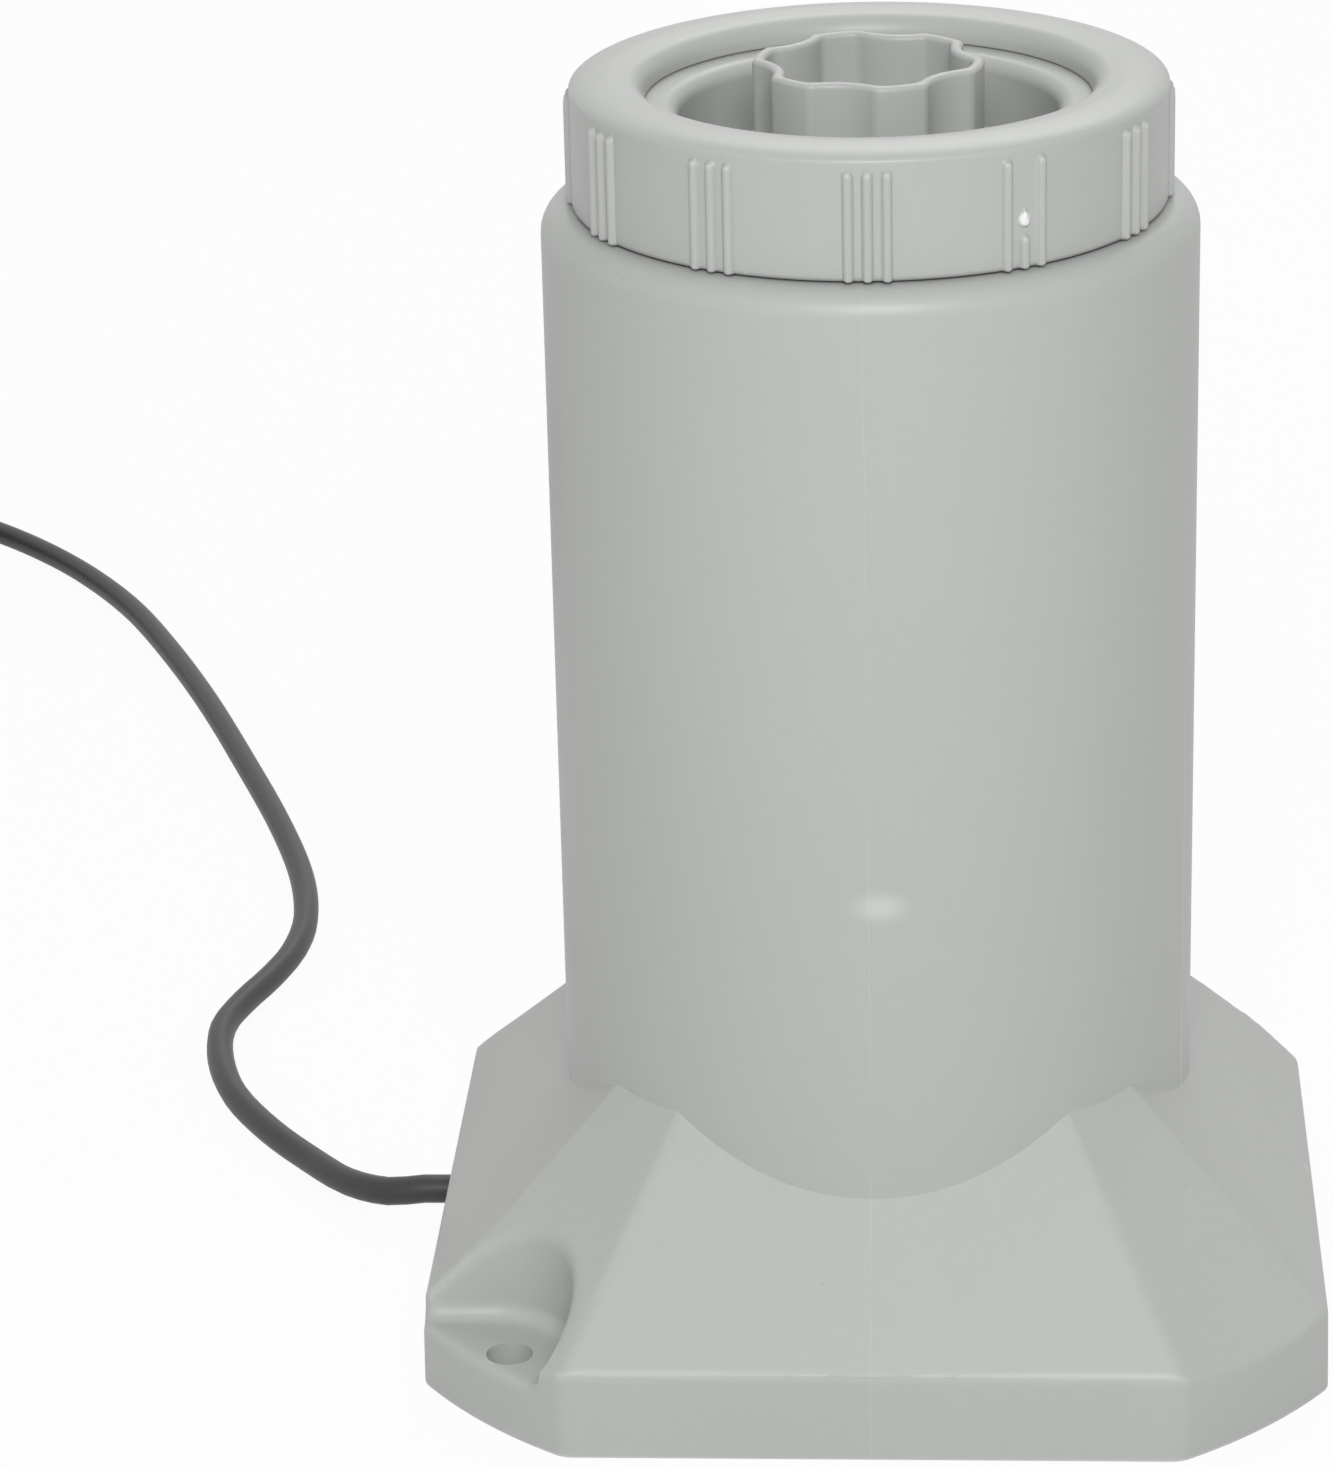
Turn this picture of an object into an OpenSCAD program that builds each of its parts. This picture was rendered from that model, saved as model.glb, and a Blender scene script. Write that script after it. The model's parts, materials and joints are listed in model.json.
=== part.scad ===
// Upright cartridge filter pump. The origin is on the floor, on the canister's axis.
// +Z is up, the front is -Y, both hose spigots point along +Y and the cable leaves at -X.

/* [Canister] */
// Outer diameter of the canister
body_d = 110; // [108:0.5:116]
// Height of the canister's shoulder above the floor
body_h = 196; // [194:1:220]
// Wall of the housing
wall = 3; // [2.6:0.1:3.4]
// Radius of the rounded shoulder
shoulder_round = 4.5; // [2:0.5:4.5]
// Thickness of the canister's floor
floor_t = 4; // [3:0.5:5]
// Height of the neck above the shoulder
neck_h = 13.3; // [12.8:0.1:14]
// Wall of the neck under its thread
neck_wall = 2.4; // [2:0.1:2.8]

/* [Foot] */
// Width of the square foot at the floor
base_w = 154.8; // [152:0.2:160]
// Diameter of the circle that rounds the foot's corners
base_corner_d = 186; // [184:0.5:192]
// Height of the upright flange round the foot
flange_h = 15.15; // [13:0.05:17]
// How far the flange leans in over its height
flange_draft = 0.3; // [0.1:0.1:0.6]
// Distance from the axis to where a sloped corner face is level with the flange's top
corner_reach = 91.2; // [90:0.1:92]
// Distance from a side of the foot in to a fixing hole's centre
fixing_inset = 15.9; // [14:0.1:17]
// Diameter of a fixing hole
fixing_hole_d = 8; // [6:0.5:9]
// Radius of the pocket round a fixing hole
pocket_r = 14.3; // [13:0.1:15]
// Height of the pocket's floor
pocket_floor_z = 11; // [9:0.5:12]

/* [Collar] */
// Wall of the collar
collar_wall = 3.7; // [3:0.1:4.5]
// Thickness of the collar's top lip
lip_t = 4.35; // [4.1:0.05:6]
// Radius of the collar's top opening
lip_bore_r = 37.1; // [36.2:0.1:38]
// Number of rib groups round the collar
rib_groups = 12; // [8:1:16]
// Diameter of one rib
rib_d = 1.6; // [1.2:0.1:2]
// Pitch of the thread
thread_pitch = 6; // [5.8:0.1:6.4]

/* [Lid] */
// Thickness of the lid's flange
lid_flange_t = 3.6; // [3:0.1:4.5]
// Radius of the lid's dish
dish_r = 33; // [31:0.1:33.5]
// Depth of the dish below the flange's top
dish_depth = 16; // [12:0.5:17]
// Wall of the dish
dish_wall = 2.4; // [2:0.1:2.6]
// Height of the round foot that carries the grip
pedestal_h = 8.8; // [6:0.2:10]
// Height of the lobed grip
grip_h = 13.7; // [10:0.1:18]
// Largest radius of the grip
grip_r = 19.6; // [18:0.1:20.5]
// Wall of the grip
grip_wall = 2; // [1.6:0.1:2.6]

/* [Filter cartridge] */
// Diameter of the cartridge
cartridge_d = 80; // [79:0.5:81]
// Height of the cartridge
cartridge_h = 90; // [80:1:94]
// Diameter of the cartridge's end holes
cartridge_bore_d = 30; // [30:0.2:32]
// Number of pleats
pleats = 40; // [24:1:48]
// Thickness of an end cap
cap_t = 5; // [4:0.5:8]

/* [Pump] */
// Height of the pump chamber's floor
chamber_floor_z = 68; // [66:0.5:69]
// Height inside the pump chamber
chamber_h = 16; // [15:0.5:17]
// Radius of the pump chamber
chamber_r = 25; // [24:0.5:26]
// Radius of the impeller
impeller_r = 20; // [18:0.5:22]
// Number of impeller vanes
vanes = 6; // [4:1:8]
// Diameter of the shaft
shaft_d = 3; // [2.5:0.5:4]
// Radius of the rotor magnet
magnet_r = 11.5; // [10:0.1:12]
// Length of the rotor magnet
magnet_h = 28; // [24:0.5:29]
// Stack height of the stator's plates
core_h = 24; // [20:0.5:26]

/* [Hose spigots] */
// Outer diameter of a spigot, for a 32 mm hose
spigot_d = 32; // [30:0.5:34]
// Bore of a spigot
spigot_bore_d = 27; // [24:0.5:27.5]
// Plain length of a spigot
spigot_l = 32; // [24:1:40]
// Height of the upper spigot, the inlet
inlet_z = 150; // [140:1:160]

/* [Cable] */
// Diameter of the cable
cord_d = 5.2; // [5:0.1:5.4]
// Height at which the cable leaves the foot
exit_z = 6.5; // [6.4:0.1:7]
// Distance of the cable's exit behind the middle of the foot's left side
exit_y = 9.5; // [9:0.5:11]

/* [Hidden] */
$fn = 96;

// Clearances that several pieces share, and the overrun of every cut
clear = 0.3;
run_fit = 0.05;
seat_gap = 0.2;
over = 1;

// Canister and neck
body_r = body_d / 2;
inner_r = body_r - wall;
neck_play = 1.2;
cartridge_r = cartridge_d / 2;
neck_bore_r = cartridge_r + neck_play;
neck_r = neck_bore_r + neck_wall;
neck_top_z = body_h + neck_h;
inner_chamfer = 3;
roof_z = body_h - wall;

// Foot: the sloped sides rise one for one, the sloped corners a little less
side_slope = 1;
corner_slope = 0.9;
base_half = base_w / 2;
flange_half = base_half - flange_draft;
base_corner_r = base_corner_d / 2;
foot_top_z = flange_h + flange_half - inner_r * cos(45);
side_drop = wall * sqrt(1 + side_slope * side_slope);
corner_drop = wall * sqrt(1 + corner_slope * corner_slope);
fixing_x = base_half - fixing_inset;
fixing_r = fixing_hole_d / 2;
pocket_shift_x = 3.2;
pocket_shift_y = 1.1;
post_wall = 4;

// Base plate and its screws
plate_t = 2.2;
plate_recess = 0.4;
plate_top_z = plate_recess + plate_t;
boss_r = 4.5;
screw_r = 1.5;
screw_play = 0.2;
screw_tip_gap = 1;
screw_head_r = 3;
screw_head_h = 1.2;
screw_l = 10;
plate_screw_inset = 13.4;
plate_screw_x = base_half - plate_screw_inset;
plate_screw_turns = [0, 90, 180, 270];

// Lid's flange, from the neck's top up
thread_h = 1.7;
thread_play = 0.7;
collar_bore_r = neck_r + thread_h + thread_play;
lid_flange_z = neck_top_z + clear;
lid_top_z = lid_flange_z + lid_flange_t;
lid_flange_play = 0.4;
lid_flange_r = collar_bore_r - lid_flange_play;

// Collar, with a snap bead that holds it on the lid's flange
collar_bottom_z = body_h + clear;
lip_z = lid_top_z + clear;
collar_top_z = lip_z + lip_t;
collar_r = collar_bore_r + collar_wall;
outer_round_w = 7.1;
outer_round_h = 2.1;
lip_round = 3.5;
lip_fall = 0.45;
bead_h = 1.1;
bead_gap = 0.25;
bead_play = 0.4;
bead_top_z = lid_flange_z - bead_gap;

// Ribs and the index mark, a short rib with a drop above it
rib_r = rib_d / 2;
rib_proud = 0.9;
rib_pitch = 3.1;
rib_top_drop = 3.3;
rib_turn = 0.9;
rib_stub_h = 5.6;
index_group = 1;
drop_z = 7.5;
drop_r = 0.7;
drop_h = 2.2;
drop_proud = 0.5;

// Thread ribs of the neck and of the collar, which run half a pitch apart
neck_thread_root_w = 4;
neck_thread_crest_w = 2.2;
collar_thread_share = 0.85;
collar_thread_h = 1.9;
thread_bite = 0.5;
thread_start = 3.2;
thread_turns = 1.1;
collar_thread_turn = -0.6;
thread_steps = 24;
thread_share = 0.7;

// Lid's plug, seal, dish and stem
plug_play = 0.4;
seal_d = 2.6;
seal_r = seal_d / 2;
lid_plug_r = neck_bore_r - plug_play;
seal_ring_r = neck_bore_r - run_fit - seal_r;
groove_r = seal_ring_r - seal_r - run_fit;
groove_play = 0.15;
groove_up = 3.4;
skirt_wall = 1.6;
skirt_h = 12.6;
skirt_z = lid_flange_z - skirt_h;
seal_z = skirt_z + groove_up;
roll_r = 2.6;
dish_z = lid_top_z - dish_depth;
pedestal_z = dish_z + pedestal_h;
pedestal_margin = 1.5;
pedestal_r = grip_r + pedestal_margin;
grip_lobes = 6;
grip_turn = 45;
flute_r = 5;
flute_depth = 2.9;
stem_wall = 2;
stem_play = 0.4;
stem_reach = 8;
cartridge_bore_r = cartridge_bore_d / 2;
stem_r = cartridge_bore_r - stem_play;

// Cartridge, which stands on the canister's floor
chamber_roof_z = chamber_floor_z + chamber_h;
canister_floor_z = chamber_roof_z + floor_t;
cartridge_top_z = canister_floor_z + cartridge_h;
cap_rim_h = 2;
cap_rim_t = 1.2;
core_t = 1.6;
core_slots = 8;
core_rows = 3;
core_slot_w = 5;
core_slot_margin = 4;
pleat_gap = 0.6;
pleat_step = 2.2;
pleat_in_r = cartridge_bore_r + core_t + pleat_gap;
pleat_out_r = cartridge_r - cap_rim_t - pleat_gap;

// Seat spigot on the canister's floor, and the eye of the pump with its spider
seat_h = 8;
seat_wall = 2.4;
eye_r = 11;
spider_r = 5.4;
spider_arm_w = 2.6;
spider_arms = 3;

// Pump plate with the rotor can below it
pump_plate_t = 3;
pump_plate_play = 3;
pump_plate_r = inner_r - pump_plate_play;
pump_plate_z = chamber_floor_z - pump_plate_t;
can_play = 0.7;
can_bore_r = magnet_r + can_play;
can_wall = 1.2;
can_floor_t = 1.5;
chamber_wall = 3;
land_w = 12.5;
land_t = 3;
land_r = chamber_r + land_w;
pump_seal_d = 2;
pump_seal_r = pump_seal_d / 2;
pump_seal_ring_r = chamber_r + land_w / 2;
pump_groove_w = 2.6;
pump_groove_depth = pump_seal_d - seat_gap + run_fit;
pump_screw_inset = 9;
pump_screw_ring_r = inner_r - pump_screw_inset;
pump_screw_l = 14;
pump_screw_head_h = 2.4;
pump_screw_turns = [45, 135, 225, 315];

// Rotor on its shaft, from the plate down to the bottom of the can
magnet_drop = 11.5;
washer_t = 0.8;
washer_r = 3;
washer_gap = 0.1;
lower_seat_h = 4.5;
lower_seat_r = 4;
seat_cup_t = 1.6;
seat_cup_h = 3;
magnet_z = pump_plate_z - magnet_drop - magnet_h;
washer_lower_z = magnet_z - washer_gap - washer_t;
can_floor_z = washer_lower_z - washer_gap - lower_seat_h;
sleeve_r = 4.15;
hub_r = 4.4;
disc_gap = 1;
disc_t = 1.5;
vane_gap = 1.2;
vane_t = 1.6;
vane_bite = 0.4;
hub_drop = 4;
hub_top_z = chamber_roof_z - hub_drop;
washer_upper_z = hub_top_z + washer_gap;
upper_seat_z = washer_upper_z + washer_t + washer_gap;
upper_seat_r = 3.4;
upper_seat_drop = 0.4;
upper_seat_top_z = canister_floor_z - upper_seat_drop;
shaft_r = shaft_d / 2;
shaft_inset = 1.1;
shaft_z = can_floor_z + shaft_inset;
shaft_top_z = upper_seat_top_z - shaft_inset;

// Stator: a core of plates with two arms, each through a bobbin with its coil
core_gap = 0.3;
core_bore_r = can_bore_r + can_wall + core_gap;
pole_wall = 8.3;
pole_x = core_bore_r + pole_wall;
pole_y = 16;
pole_slot_w = 3;
arm_x = 9;
arm_w = 8;
yoke_w = 7.8;
stator_inset = 10.2;
yoke_y = inner_r - stator_inset - yoke_w;
arm_l = yoke_y - pole_y;
arm_mid = arm_x + arm_w / 2;
core_z = magnet_z + magnet_h / 2 - core_h / 2;
bobbin_play = 0.2;
bobbin_t = 1;
bobbin_flange = 5;
bobbin_inset = 0.8;
coil_inset = 0.7;

// Motor case round the stator, clamped under the pump plate
case_play = 2.2;
case_wall = 1.6;
case_half = pole_x + case_play;
case_front_y = pole_y + case_play;
case_back_y = yoke_y + yoke_w + clear;
case_floor_gap = 0.9;
case_floor_z = can_floor_z - can_floor_t - case_floor_gap;
case_flange_t = 2.2;
case_flange_z = pump_plate_z - case_flange_t;
ledge_w = 4;
ledge_l = 6;

// Spigots and the duct from the pump chamber to the lower one
spigot_r = spigot_d / 2;
spigot_bore_r = spigot_bore_d / 2;
spigot_root_w = 3;
spigot_root_l = 5;
spigot_tip_l = 4;
spigot_tip_fall = 1;
outlet_z = chamber_floor_z + chamber_h / 2;
duct_r = chamber_h / 2 - 2 * seat_gap;
duct_wall = 1.1;

// Grommet, the jacket inside the foot and the two wires
cord_r = cord_d / 2;
grommet_wall = 1;
grommet_r = cord_r + grommet_wall;
grommet_stand = 0.5;
grommet_l = 9;
grommet_x = -base_half - grommet_stand;
grommet_end_x = grommet_x + grommet_l;
tail_in_z = 22;
tail_run = 9;
tail_bend_z = 10;
tail_bend_x = -48;
tail_rise_x = -37;
tail_rise_z = 18;
tail_stub = 2;
wire_d = 1.6;
wire_r = wire_d / 2;
wire_space = 1;
wire_x = -19;
wire_mid_z = 23;
wire_run = 2;
wire_end_z = core_z - bobbin_flange / 2;

// Route of the cable over the floor, chosen by hand: x, y and the height of its centre line
cord_route = [
    [-90, 11, 5.2], [-98, 17.5, 3.8], [-106, 28, 2.9], [-115.5, 41, 2.7], [-124, 56, 2.7],
    [-129, 72, 2.7], [-130.5, 87, 2.7], [-128, 99, 2.7], [-124, 111, 2.7], [-121, 124, 2.7],
    [-120.5, 140, 2.7], [-124, 162, 2.7], [-132, 190, 2.7], [-144, 225, 2.7], [-157, 261, 2.7],
    [-170, 293, 2.7], [-183, 321, 2.7], [-197, 344, 2.7], [-211, 362, 2.7], [-226, 377, 2.8],
    [-241, 387.5, 3.2]
];
tail_route = [[-322, 360, 18.4], [-322, 344, 14.4], [-321, 328, 10.4], [-320, 314, 7.8], [-320, 304, 7.2]];
ring_step = 13;
cord_sides = 8;
small_sides = 6;

// Coil of the unseen length: layers that spiral in and out again by turns
coil_mid = [-284, 373];
coil_out_r = 36.3;
coil_pitch = 6.6;
coil_layer_h = 5.8;
coil_layers = 4;
coil_lay_turns = 2.2;
coil_climb_turns = 0.5;
coil_start_turn = 53;
coil_base_z = 3.6;
coil_rings = 24;
coil_in_r = coil_out_r - coil_pitch * coil_lay_turns;
coil_cycle = coil_lay_turns + coil_climb_turns;
coil_turns = coil_layers * coil_lay_turns + (coil_layers - 1) * coil_climb_turns;
tie_t = 0.8;
tie_w = 9;
tie_turn = 300;

// Connector on the end of the cable, pointing along -Y
plug_r = 7;
plug_mid = [-320, 294, 7.2];
boot_l = 20;
boot_wall = 0.7;
plug_l = 28;
nose_r = 5.4;
nose_l = 10;
pin_r = 1;
pin_l = 8;
pin_x = 2.5;

// Points along an arc of the ellipse with radii r about c
function arc(c, r, from, to, n = 8) =
    [for (i = [0:n]) let (a = from + (to - from) * i / n) [c[0] + r[0] * cos(a), c[1] + r[1] * sin(a)]];

// A smooth curve through points, with a point about every step
function knot(p, i) = p[max(0, min(len(p) - 1, i))];
function between(a, b, c, d, t) =
    (2 * b + (c - a) * t + (2 * a - 5 * b + 4 * c - d) * t * t + (3 * b - a - 3 * c + d) * t * t * t) / 2;
function smooth(p, step) = concat(
    [for (i = [0:len(p) - 2])
        let (n = max(1, round(norm(p[i + 1] - p[i]) / step)))
        for (k = [0:n - 1]) between(knot(p, i - 1), p[i], p[i + 1], knot(p, i + 2), k / n)],
    [p[len(p) - 1]]);
function path_length(p) = let (d = [for (i = [1:len(p) - 1]) norm(p[i] - p[i - 1])]) d * [for (v = d) 1];

// Directions for a tube's rings: along the path, then across it
function unit(v) = v / norm(v);
function heading(p, i) = unit(p[min(len(p) - 1, i + 1)] - p[max(0, i - 1)]);
function ring_points(c, t, r, sides) =
    let (side = unit(cross([0, 0, 1], t)), up = cross(t, side))
    [for (k = [0:sides - 1]) c + r * (side * cos(360 * k / sides) + up * sin(360 * k / sides))];

// A closed tube along points, made of triangles
module tube(p, r, sides) {
    n = len(p);
    end = (n - 1) * sides;
    pts = [for (i = [0:n - 1]) each ring_points(p[i], heading(p, i), r, sides)];
    walls = [for (i = [0:n - 2]) for (k = [0:sides - 1])
        let (a = i * sides + k, b = i * sides + (k + 1) % sides)
        each [[a, b, a + sides], [b, b + sides, a + sides]]];
    first = [for (k = [1:sides - 2]) [0, k + 1, k]];
    last = [for (k = [1:sides - 2]) [end, end + k, end + k + 1]];
    polyhedron(points = pts, faces = concat(walls, first, last), convexity = 10);
}

// An interrupted thread rib from radius foot to radius crest, whose short pieces climb round the axis
module thread_rib(foot, crest, z, turn, foot_w, crest_w) {
    step = 360 / thread_steps;
    for (i = [0:round(thread_turns * thread_steps) - 1])
        translate([0, 0, z + thread_pitch * (turn + i / thread_steps)])
            rotate([0, 0, 360 * turn + i * step])
                rotate_extrude(angle = step * thread_share)
                    polygon([[foot, -foot_w / 2], [crest, -crest_w / 2], [crest, crest_w / 2], [foot, foot_w / 2]]);
}

module ring(r_out, r_in, z, h) {
    translate([0, 0, z])
        difference() {
            cylinder(r = r_out, h = h);
            translate([0, 0, -over])
                cylinder(r = r_in, h = h + 2 * over);
        }
}

module rod(x, y, r, z, top) {
    translate([x, y, z])
        cylinder(r = r, h = top - z);
}

module round_bar(z, r, y, y_end) {
    translate([0, y, z])
        rotate([-90, 0, 0])
            cylinder(r = r, h = y_end - y);
}

// Foot

// A long bar with a gabled outline, which bounds one pair of opposite faces
module gable(half_low, half, z_half, slope, z_low) {
    rotate([90, 0, 0])
        linear_extrude(height = 2 * base_w, center = true)
            polygon([[-half_low, z_low], [half_low, z_low], [half, z_half],
                     [0, z_half + slope * half], [-half, z_half]]);
}

module side_gable(inset, drop, z_low) {
    half = flange_half - inset;
    gable(base_half - inset, half, flange_h + side_slope * inset - drop, side_slope, z_low);
}

module corner_gable(drop, z_low) {
    half = base_corner_r + over;
    gable(half, half, flange_h + corner_slope * (corner_reach - half) - drop, corner_slope, z_low);
}

module foot_form(inset, drop_side, drop_corner, z_low) {
    intersection() {
        side_gable(inset, drop_side, z_low);
        rotate([0, 0, 90])
            side_gable(inset, drop_side, z_low);
        rotate([0, 0, 45])
            corner_gable(drop_corner, z_low);
        rotate([0, 0, 135])
            corner_gable(drop_corner, z_low);
        translate([0, 0, z_low])
            cylinder(r = base_corner_r - inset, h = foot_top_z - z_low);
    }
}

// The pockets stand at two opposite corners and open towards the sides
module pocket(grow, z) {
    for (turn = [0, 180])
        rotate([0, 0, turn])
            translate([-fixing_x - pocket_shift_x, -fixing_x - pocket_shift_y, z]) {
                cylinder(r = pocket_r + grow, h = body_h);
                translate([-base_half, -pocket_r - grow, 0])
                    cube([base_half, 2 * (pocket_r + grow), body_h]);
            }
}

module fixing_rods(r, z, top) {
    rod(-fixing_x, -fixing_x, r, z, top);
    rod(fixing_x, fixing_x, r, z, top);
}

module plate_screw_rods(r, z, top) {
    for (turn = plate_screw_turns)
        rotate([0, 0, turn])
            rod(plate_screw_x, 0, r, z, top);
}

module pump_screw_rods(r, z, top) {
    for (turn = pump_screw_turns)
        rotate([0, 0, turn])
            rod(pump_screw_ring_r, 0, r, z, top);
}

// Housing

module outer_form() {
    foot_form(0, 0, 0, 0);
    shoulder_r = min(shoulder_round, body_r - neck_r);
    rotate_extrude()
        polygon(concat(
            [[0, 0], [body_r, 0]],
            arc([body_r - shoulder_r, body_h - shoulder_r], [shoulder_r, shoulder_r], 0, 90),
            [[neck_r, body_h], [neck_r, neck_top_z], [0, neck_top_z]]));
    thread_rib(neck_r - thread_bite, neck_r + thread_h, body_h + thread_start, 0,
               neck_thread_root_w, neck_thread_crest_w);
    for (z = [inlet_z, outlet_z])
        spigot(z);
}

module spigot(z) {
    root_r = spigot_r + spigot_root_w;
    root_y = body_r + spigot_root_l;
    tip_y = root_y + spigot_l;
    round_bar(z, root_r, inner_r - root_r / 4, root_y);
    translate([0, 0, z])
        rotate([-90, 0, 0])
            rotate_extrude()
                polygon([[0, inner_r], [spigot_r, inner_r], [spigot_r, tip_y],
                         [spigot_r - spigot_tip_fall, tip_y + spigot_tip_l], [0, tip_y + spigot_tip_l]]);
}

module canister_hollow() {
    rotate_extrude()
        polygon([[0, canister_floor_z], [inner_r, canister_floor_z], [inner_r, roof_z - inner_chamfer],
                 [inner_r - inner_chamfer, roof_z], [neck_bore_r, roof_z],
                 [neck_bore_r, neck_top_z + over], [0, neck_top_z + over]]);
}

// What stays solid in the motor room: pockets, posts, bosses, chamber wall and duct
module motor_room_solids() {
    pocket(wall, pocket_floor_z - wall);
    fixing_rods(fixing_r + post_wall, -over, pocket_floor_z);
    plate_screw_rods(boss_r, plate_top_z, flange_h + base_half);
    pump_screw_rods(boss_r, chamber_floor_z + seat_gap, canister_floor_z);
    ring(chamber_r + chamber_wall, 0, chamber_floor_z + seat_gap, chamber_h + over);
    ring(land_r, 0, chamber_floor_z + seat_gap, land_t);
    round_bar(outlet_z, duct_r, 0, body_r);
}

module motor_room() {
    difference() {
        union() {
            foot_form(wall, side_drop, corner_drop, -over);
            rod(0, 0, inner_r, -over, chamber_roof_z);
        }
        motor_room_solids();
    }
}

module housing() color([0.72, 0.73, 0.72]) {
    difference() {
        outer_form();
        motor_room();
        canister_hollow();
        pocket(0, pocket_floor_z);
        fixing_rods(fixing_r, -over, body_h);
        plate_screw_rods(screw_r + run_fit, 0, plate_top_z + screw_l);
        pump_screw_rods(screw_r + run_fit, chamber_floor_z, chamber_floor_z + pump_screw_l);
        rod(0, 0, chamber_r, chamber_floor_z, chamber_roof_z);
        rod(0, 0, eye_r, chamber_roof_z - over, canister_floor_z + over);
        round_bar(outlet_z, duct_r - duct_wall, 0, body_r + over);
        round_bar(outlet_z, spigot_bore_r, body_r, body_r + base_half);
        round_bar(inlet_z, spigot_bore_r, 0, body_r + base_half);
        translate([-base_half - over, exit_y, exit_z])
            rotate([0, 90, 0])
                cylinder(r = grommet_r + run_fit, h = grommet_l + over);
    }
    ring(stem_r, stem_r - seat_wall, canister_floor_z - over, seat_h + over);
    spider();
}

// The spider in the eye, whose hub holds the shaft's upper seat
module spider() {
    ring(spider_r, upper_seat_r + run_fit, chamber_roof_z, floor_t);
    for (i = [0:spider_arms - 1])
        rotate([0, 0, 360 * i / spider_arms])
            translate([upper_seat_r + (spider_r - upper_seat_r) / 2, -spider_arm_w / 2, chamber_roof_z])
                cube([eye_r - upper_seat_r, spider_arm_w, floor_t]);
}

module base_plate() color([0.66, 0.67, 0.66])
    difference() {
        intersection() {
            translate([-base_half + wall + clear, -base_half + wall + clear, plate_recess])
                cube([base_w - 2 * (wall + clear), base_w - 2 * (wall + clear), plate_t]);
            cylinder(r = base_corner_r - wall - clear, h = plate_top_z + over);
        }
        fixing_rods(fixing_r + post_wall + clear, 0, plate_top_z + over);
        plate_screw_rods(screw_r + screw_play, 0, plate_top_z + over);
        plate_screw_rods(screw_head_r + screw_play, 0, plate_recess + screw_head_h);
    }

module base_plate_screws() color([0.75, 0.76, 0.78]) {
    plate_screw_rods(screw_head_r, plate_recess, plate_recess + screw_head_h);
    plate_screw_rods(screw_r, plate_recess, plate_top_z + screw_l - screw_tip_gap);
}

// Collar

module collar() color([0.7, 0.71, 0.7]) {
    bead_z = bead_top_z - bead_h;
    bead_r = neck_r + bead_play;
    rotate_extrude()
        polygon(concat(
            [[collar_bore_r, collar_bottom_z], [collar_r, collar_bottom_z]],
            arc([collar_r - outer_round_w, collar_top_z - outer_round_h], [outer_round_w, outer_round_h], 0, 90),
            arc([lip_bore_r + lip_round, collar_top_z - lip_fall - lip_round], [lip_round, lip_round], 90, 180),
            [[lip_bore_r, lip_z], [collar_bore_r, lip_z], [collar_bore_r, bead_top_z], [bead_r, bead_top_z],
             [bead_r, bead_z], [collar_bore_r, bead_z - bead_h]]));
    thread_rib(collar_bore_r + thread_bite, collar_bore_r - collar_thread_h,
               body_h + thread_start + thread_pitch / 2, collar_thread_turn,
               neck_thread_root_w * collar_thread_share, neck_thread_crest_w * collar_thread_share);
    for (group = [0:rib_groups - 1])
        rotate([0, 0, rib_turn + 360 * group / rib_groups])
            rib_group(group == index_group);
}

module rib_group(marked) {
    full_h = collar_top_z - rib_top_drop - collar_bottom_z;
    for (side = [-1, 0, 1])
        rotate([0, 0, side * rib_pitch / collar_r * 180 / PI])
            rod(0, rib_r - rib_proud - collar_r, rib_r, collar_bottom_z,
                collar_bottom_z + (marked && side == 0 ? rib_stub_h : full_h));
    if (marked)
        index_drop();
}

module index_drop() {
    translate([0, -collar_r + rib_proud, collar_bottom_z + drop_z])
        rotate([90, 0, 0]) {
            cylinder(r = drop_r, h = rib_proud + drop_proud);
            linear_extrude(height = rib_proud + drop_proud)
                polygon([[-drop_r, 0], [drop_r, 0], [0, drop_h]]);
        }
}

// Lid

module lid() color([0.7, 0.71, 0.7]) {
    pedestal_in_r = pedestal_r - dish_wall;
    pedestal_under_z = pedestal_z - dish_wall;
    stem_z = cartridge_top_z - stem_reach;
    groove_half = seal_r + groove_play;
    rotate_extrude()
        polygon(concat(
            [[0, pedestal_z], [pedestal_r, pedestal_z], [pedestal_r, dish_z], [dish_r, dish_z]],
            arc([dish_r + roll_r, lid_top_z - roll_r], [roll_r, roll_r], 180, 90),
            [[lid_flange_r, lid_top_z], [lid_flange_r, lid_flange_z], [lid_plug_r, lid_flange_z],
             [lid_plug_r, seal_z + groove_half], [groove_r, seal_z + groove_half],
             [groove_r, seal_z - groove_half], [lid_plug_r, seal_z - groove_half],
             [lid_plug_r, skirt_z], [groove_r - skirt_wall, skirt_z],
             [groove_r - skirt_wall, lid_flange_z], [dish_r + dish_wall, lid_flange_z],
             [dish_r + dish_wall, dish_z - dish_wall], [pedestal_in_r, dish_z - dish_wall],
             [pedestal_in_r, pedestal_under_z], [stem_r, pedestal_under_z], [stem_r, stem_z],
             [stem_r - stem_wall, stem_z], [stem_r - stem_wall, pedestal_under_z], [0, pedestal_under_z]]));
    translate([0, 0, pedestal_z - dish_wall / 2])
        linear_extrude(height = grip_h + dish_wall / 2)
            difference() {
                fluted_circle(grip_r, flute_r);
                fluted_circle(grip_r - grip_wall, flute_r + grip_wall);
            }
}

// Both outlines of the grip share the flutes' centres, so its wall is even
module fluted_circle(r, flute) {
    difference() {
        circle(r = r);
        for (i = [0:grip_lobes - 1])
            rotate(grip_turn + 360 * i / grip_lobes)
                translate([0, -(grip_r - flute_depth + flute_r)])
                    circle(r = flute);
    }
}

module lid_seal() color([0.12, 0.12, 0.12])
    translate([0, 0, seal_z])
        rotate_extrude()
            translate([seal_ring_r, 0])
                circle(r = seal_r, $fn = 32);

// Cartridge

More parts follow.
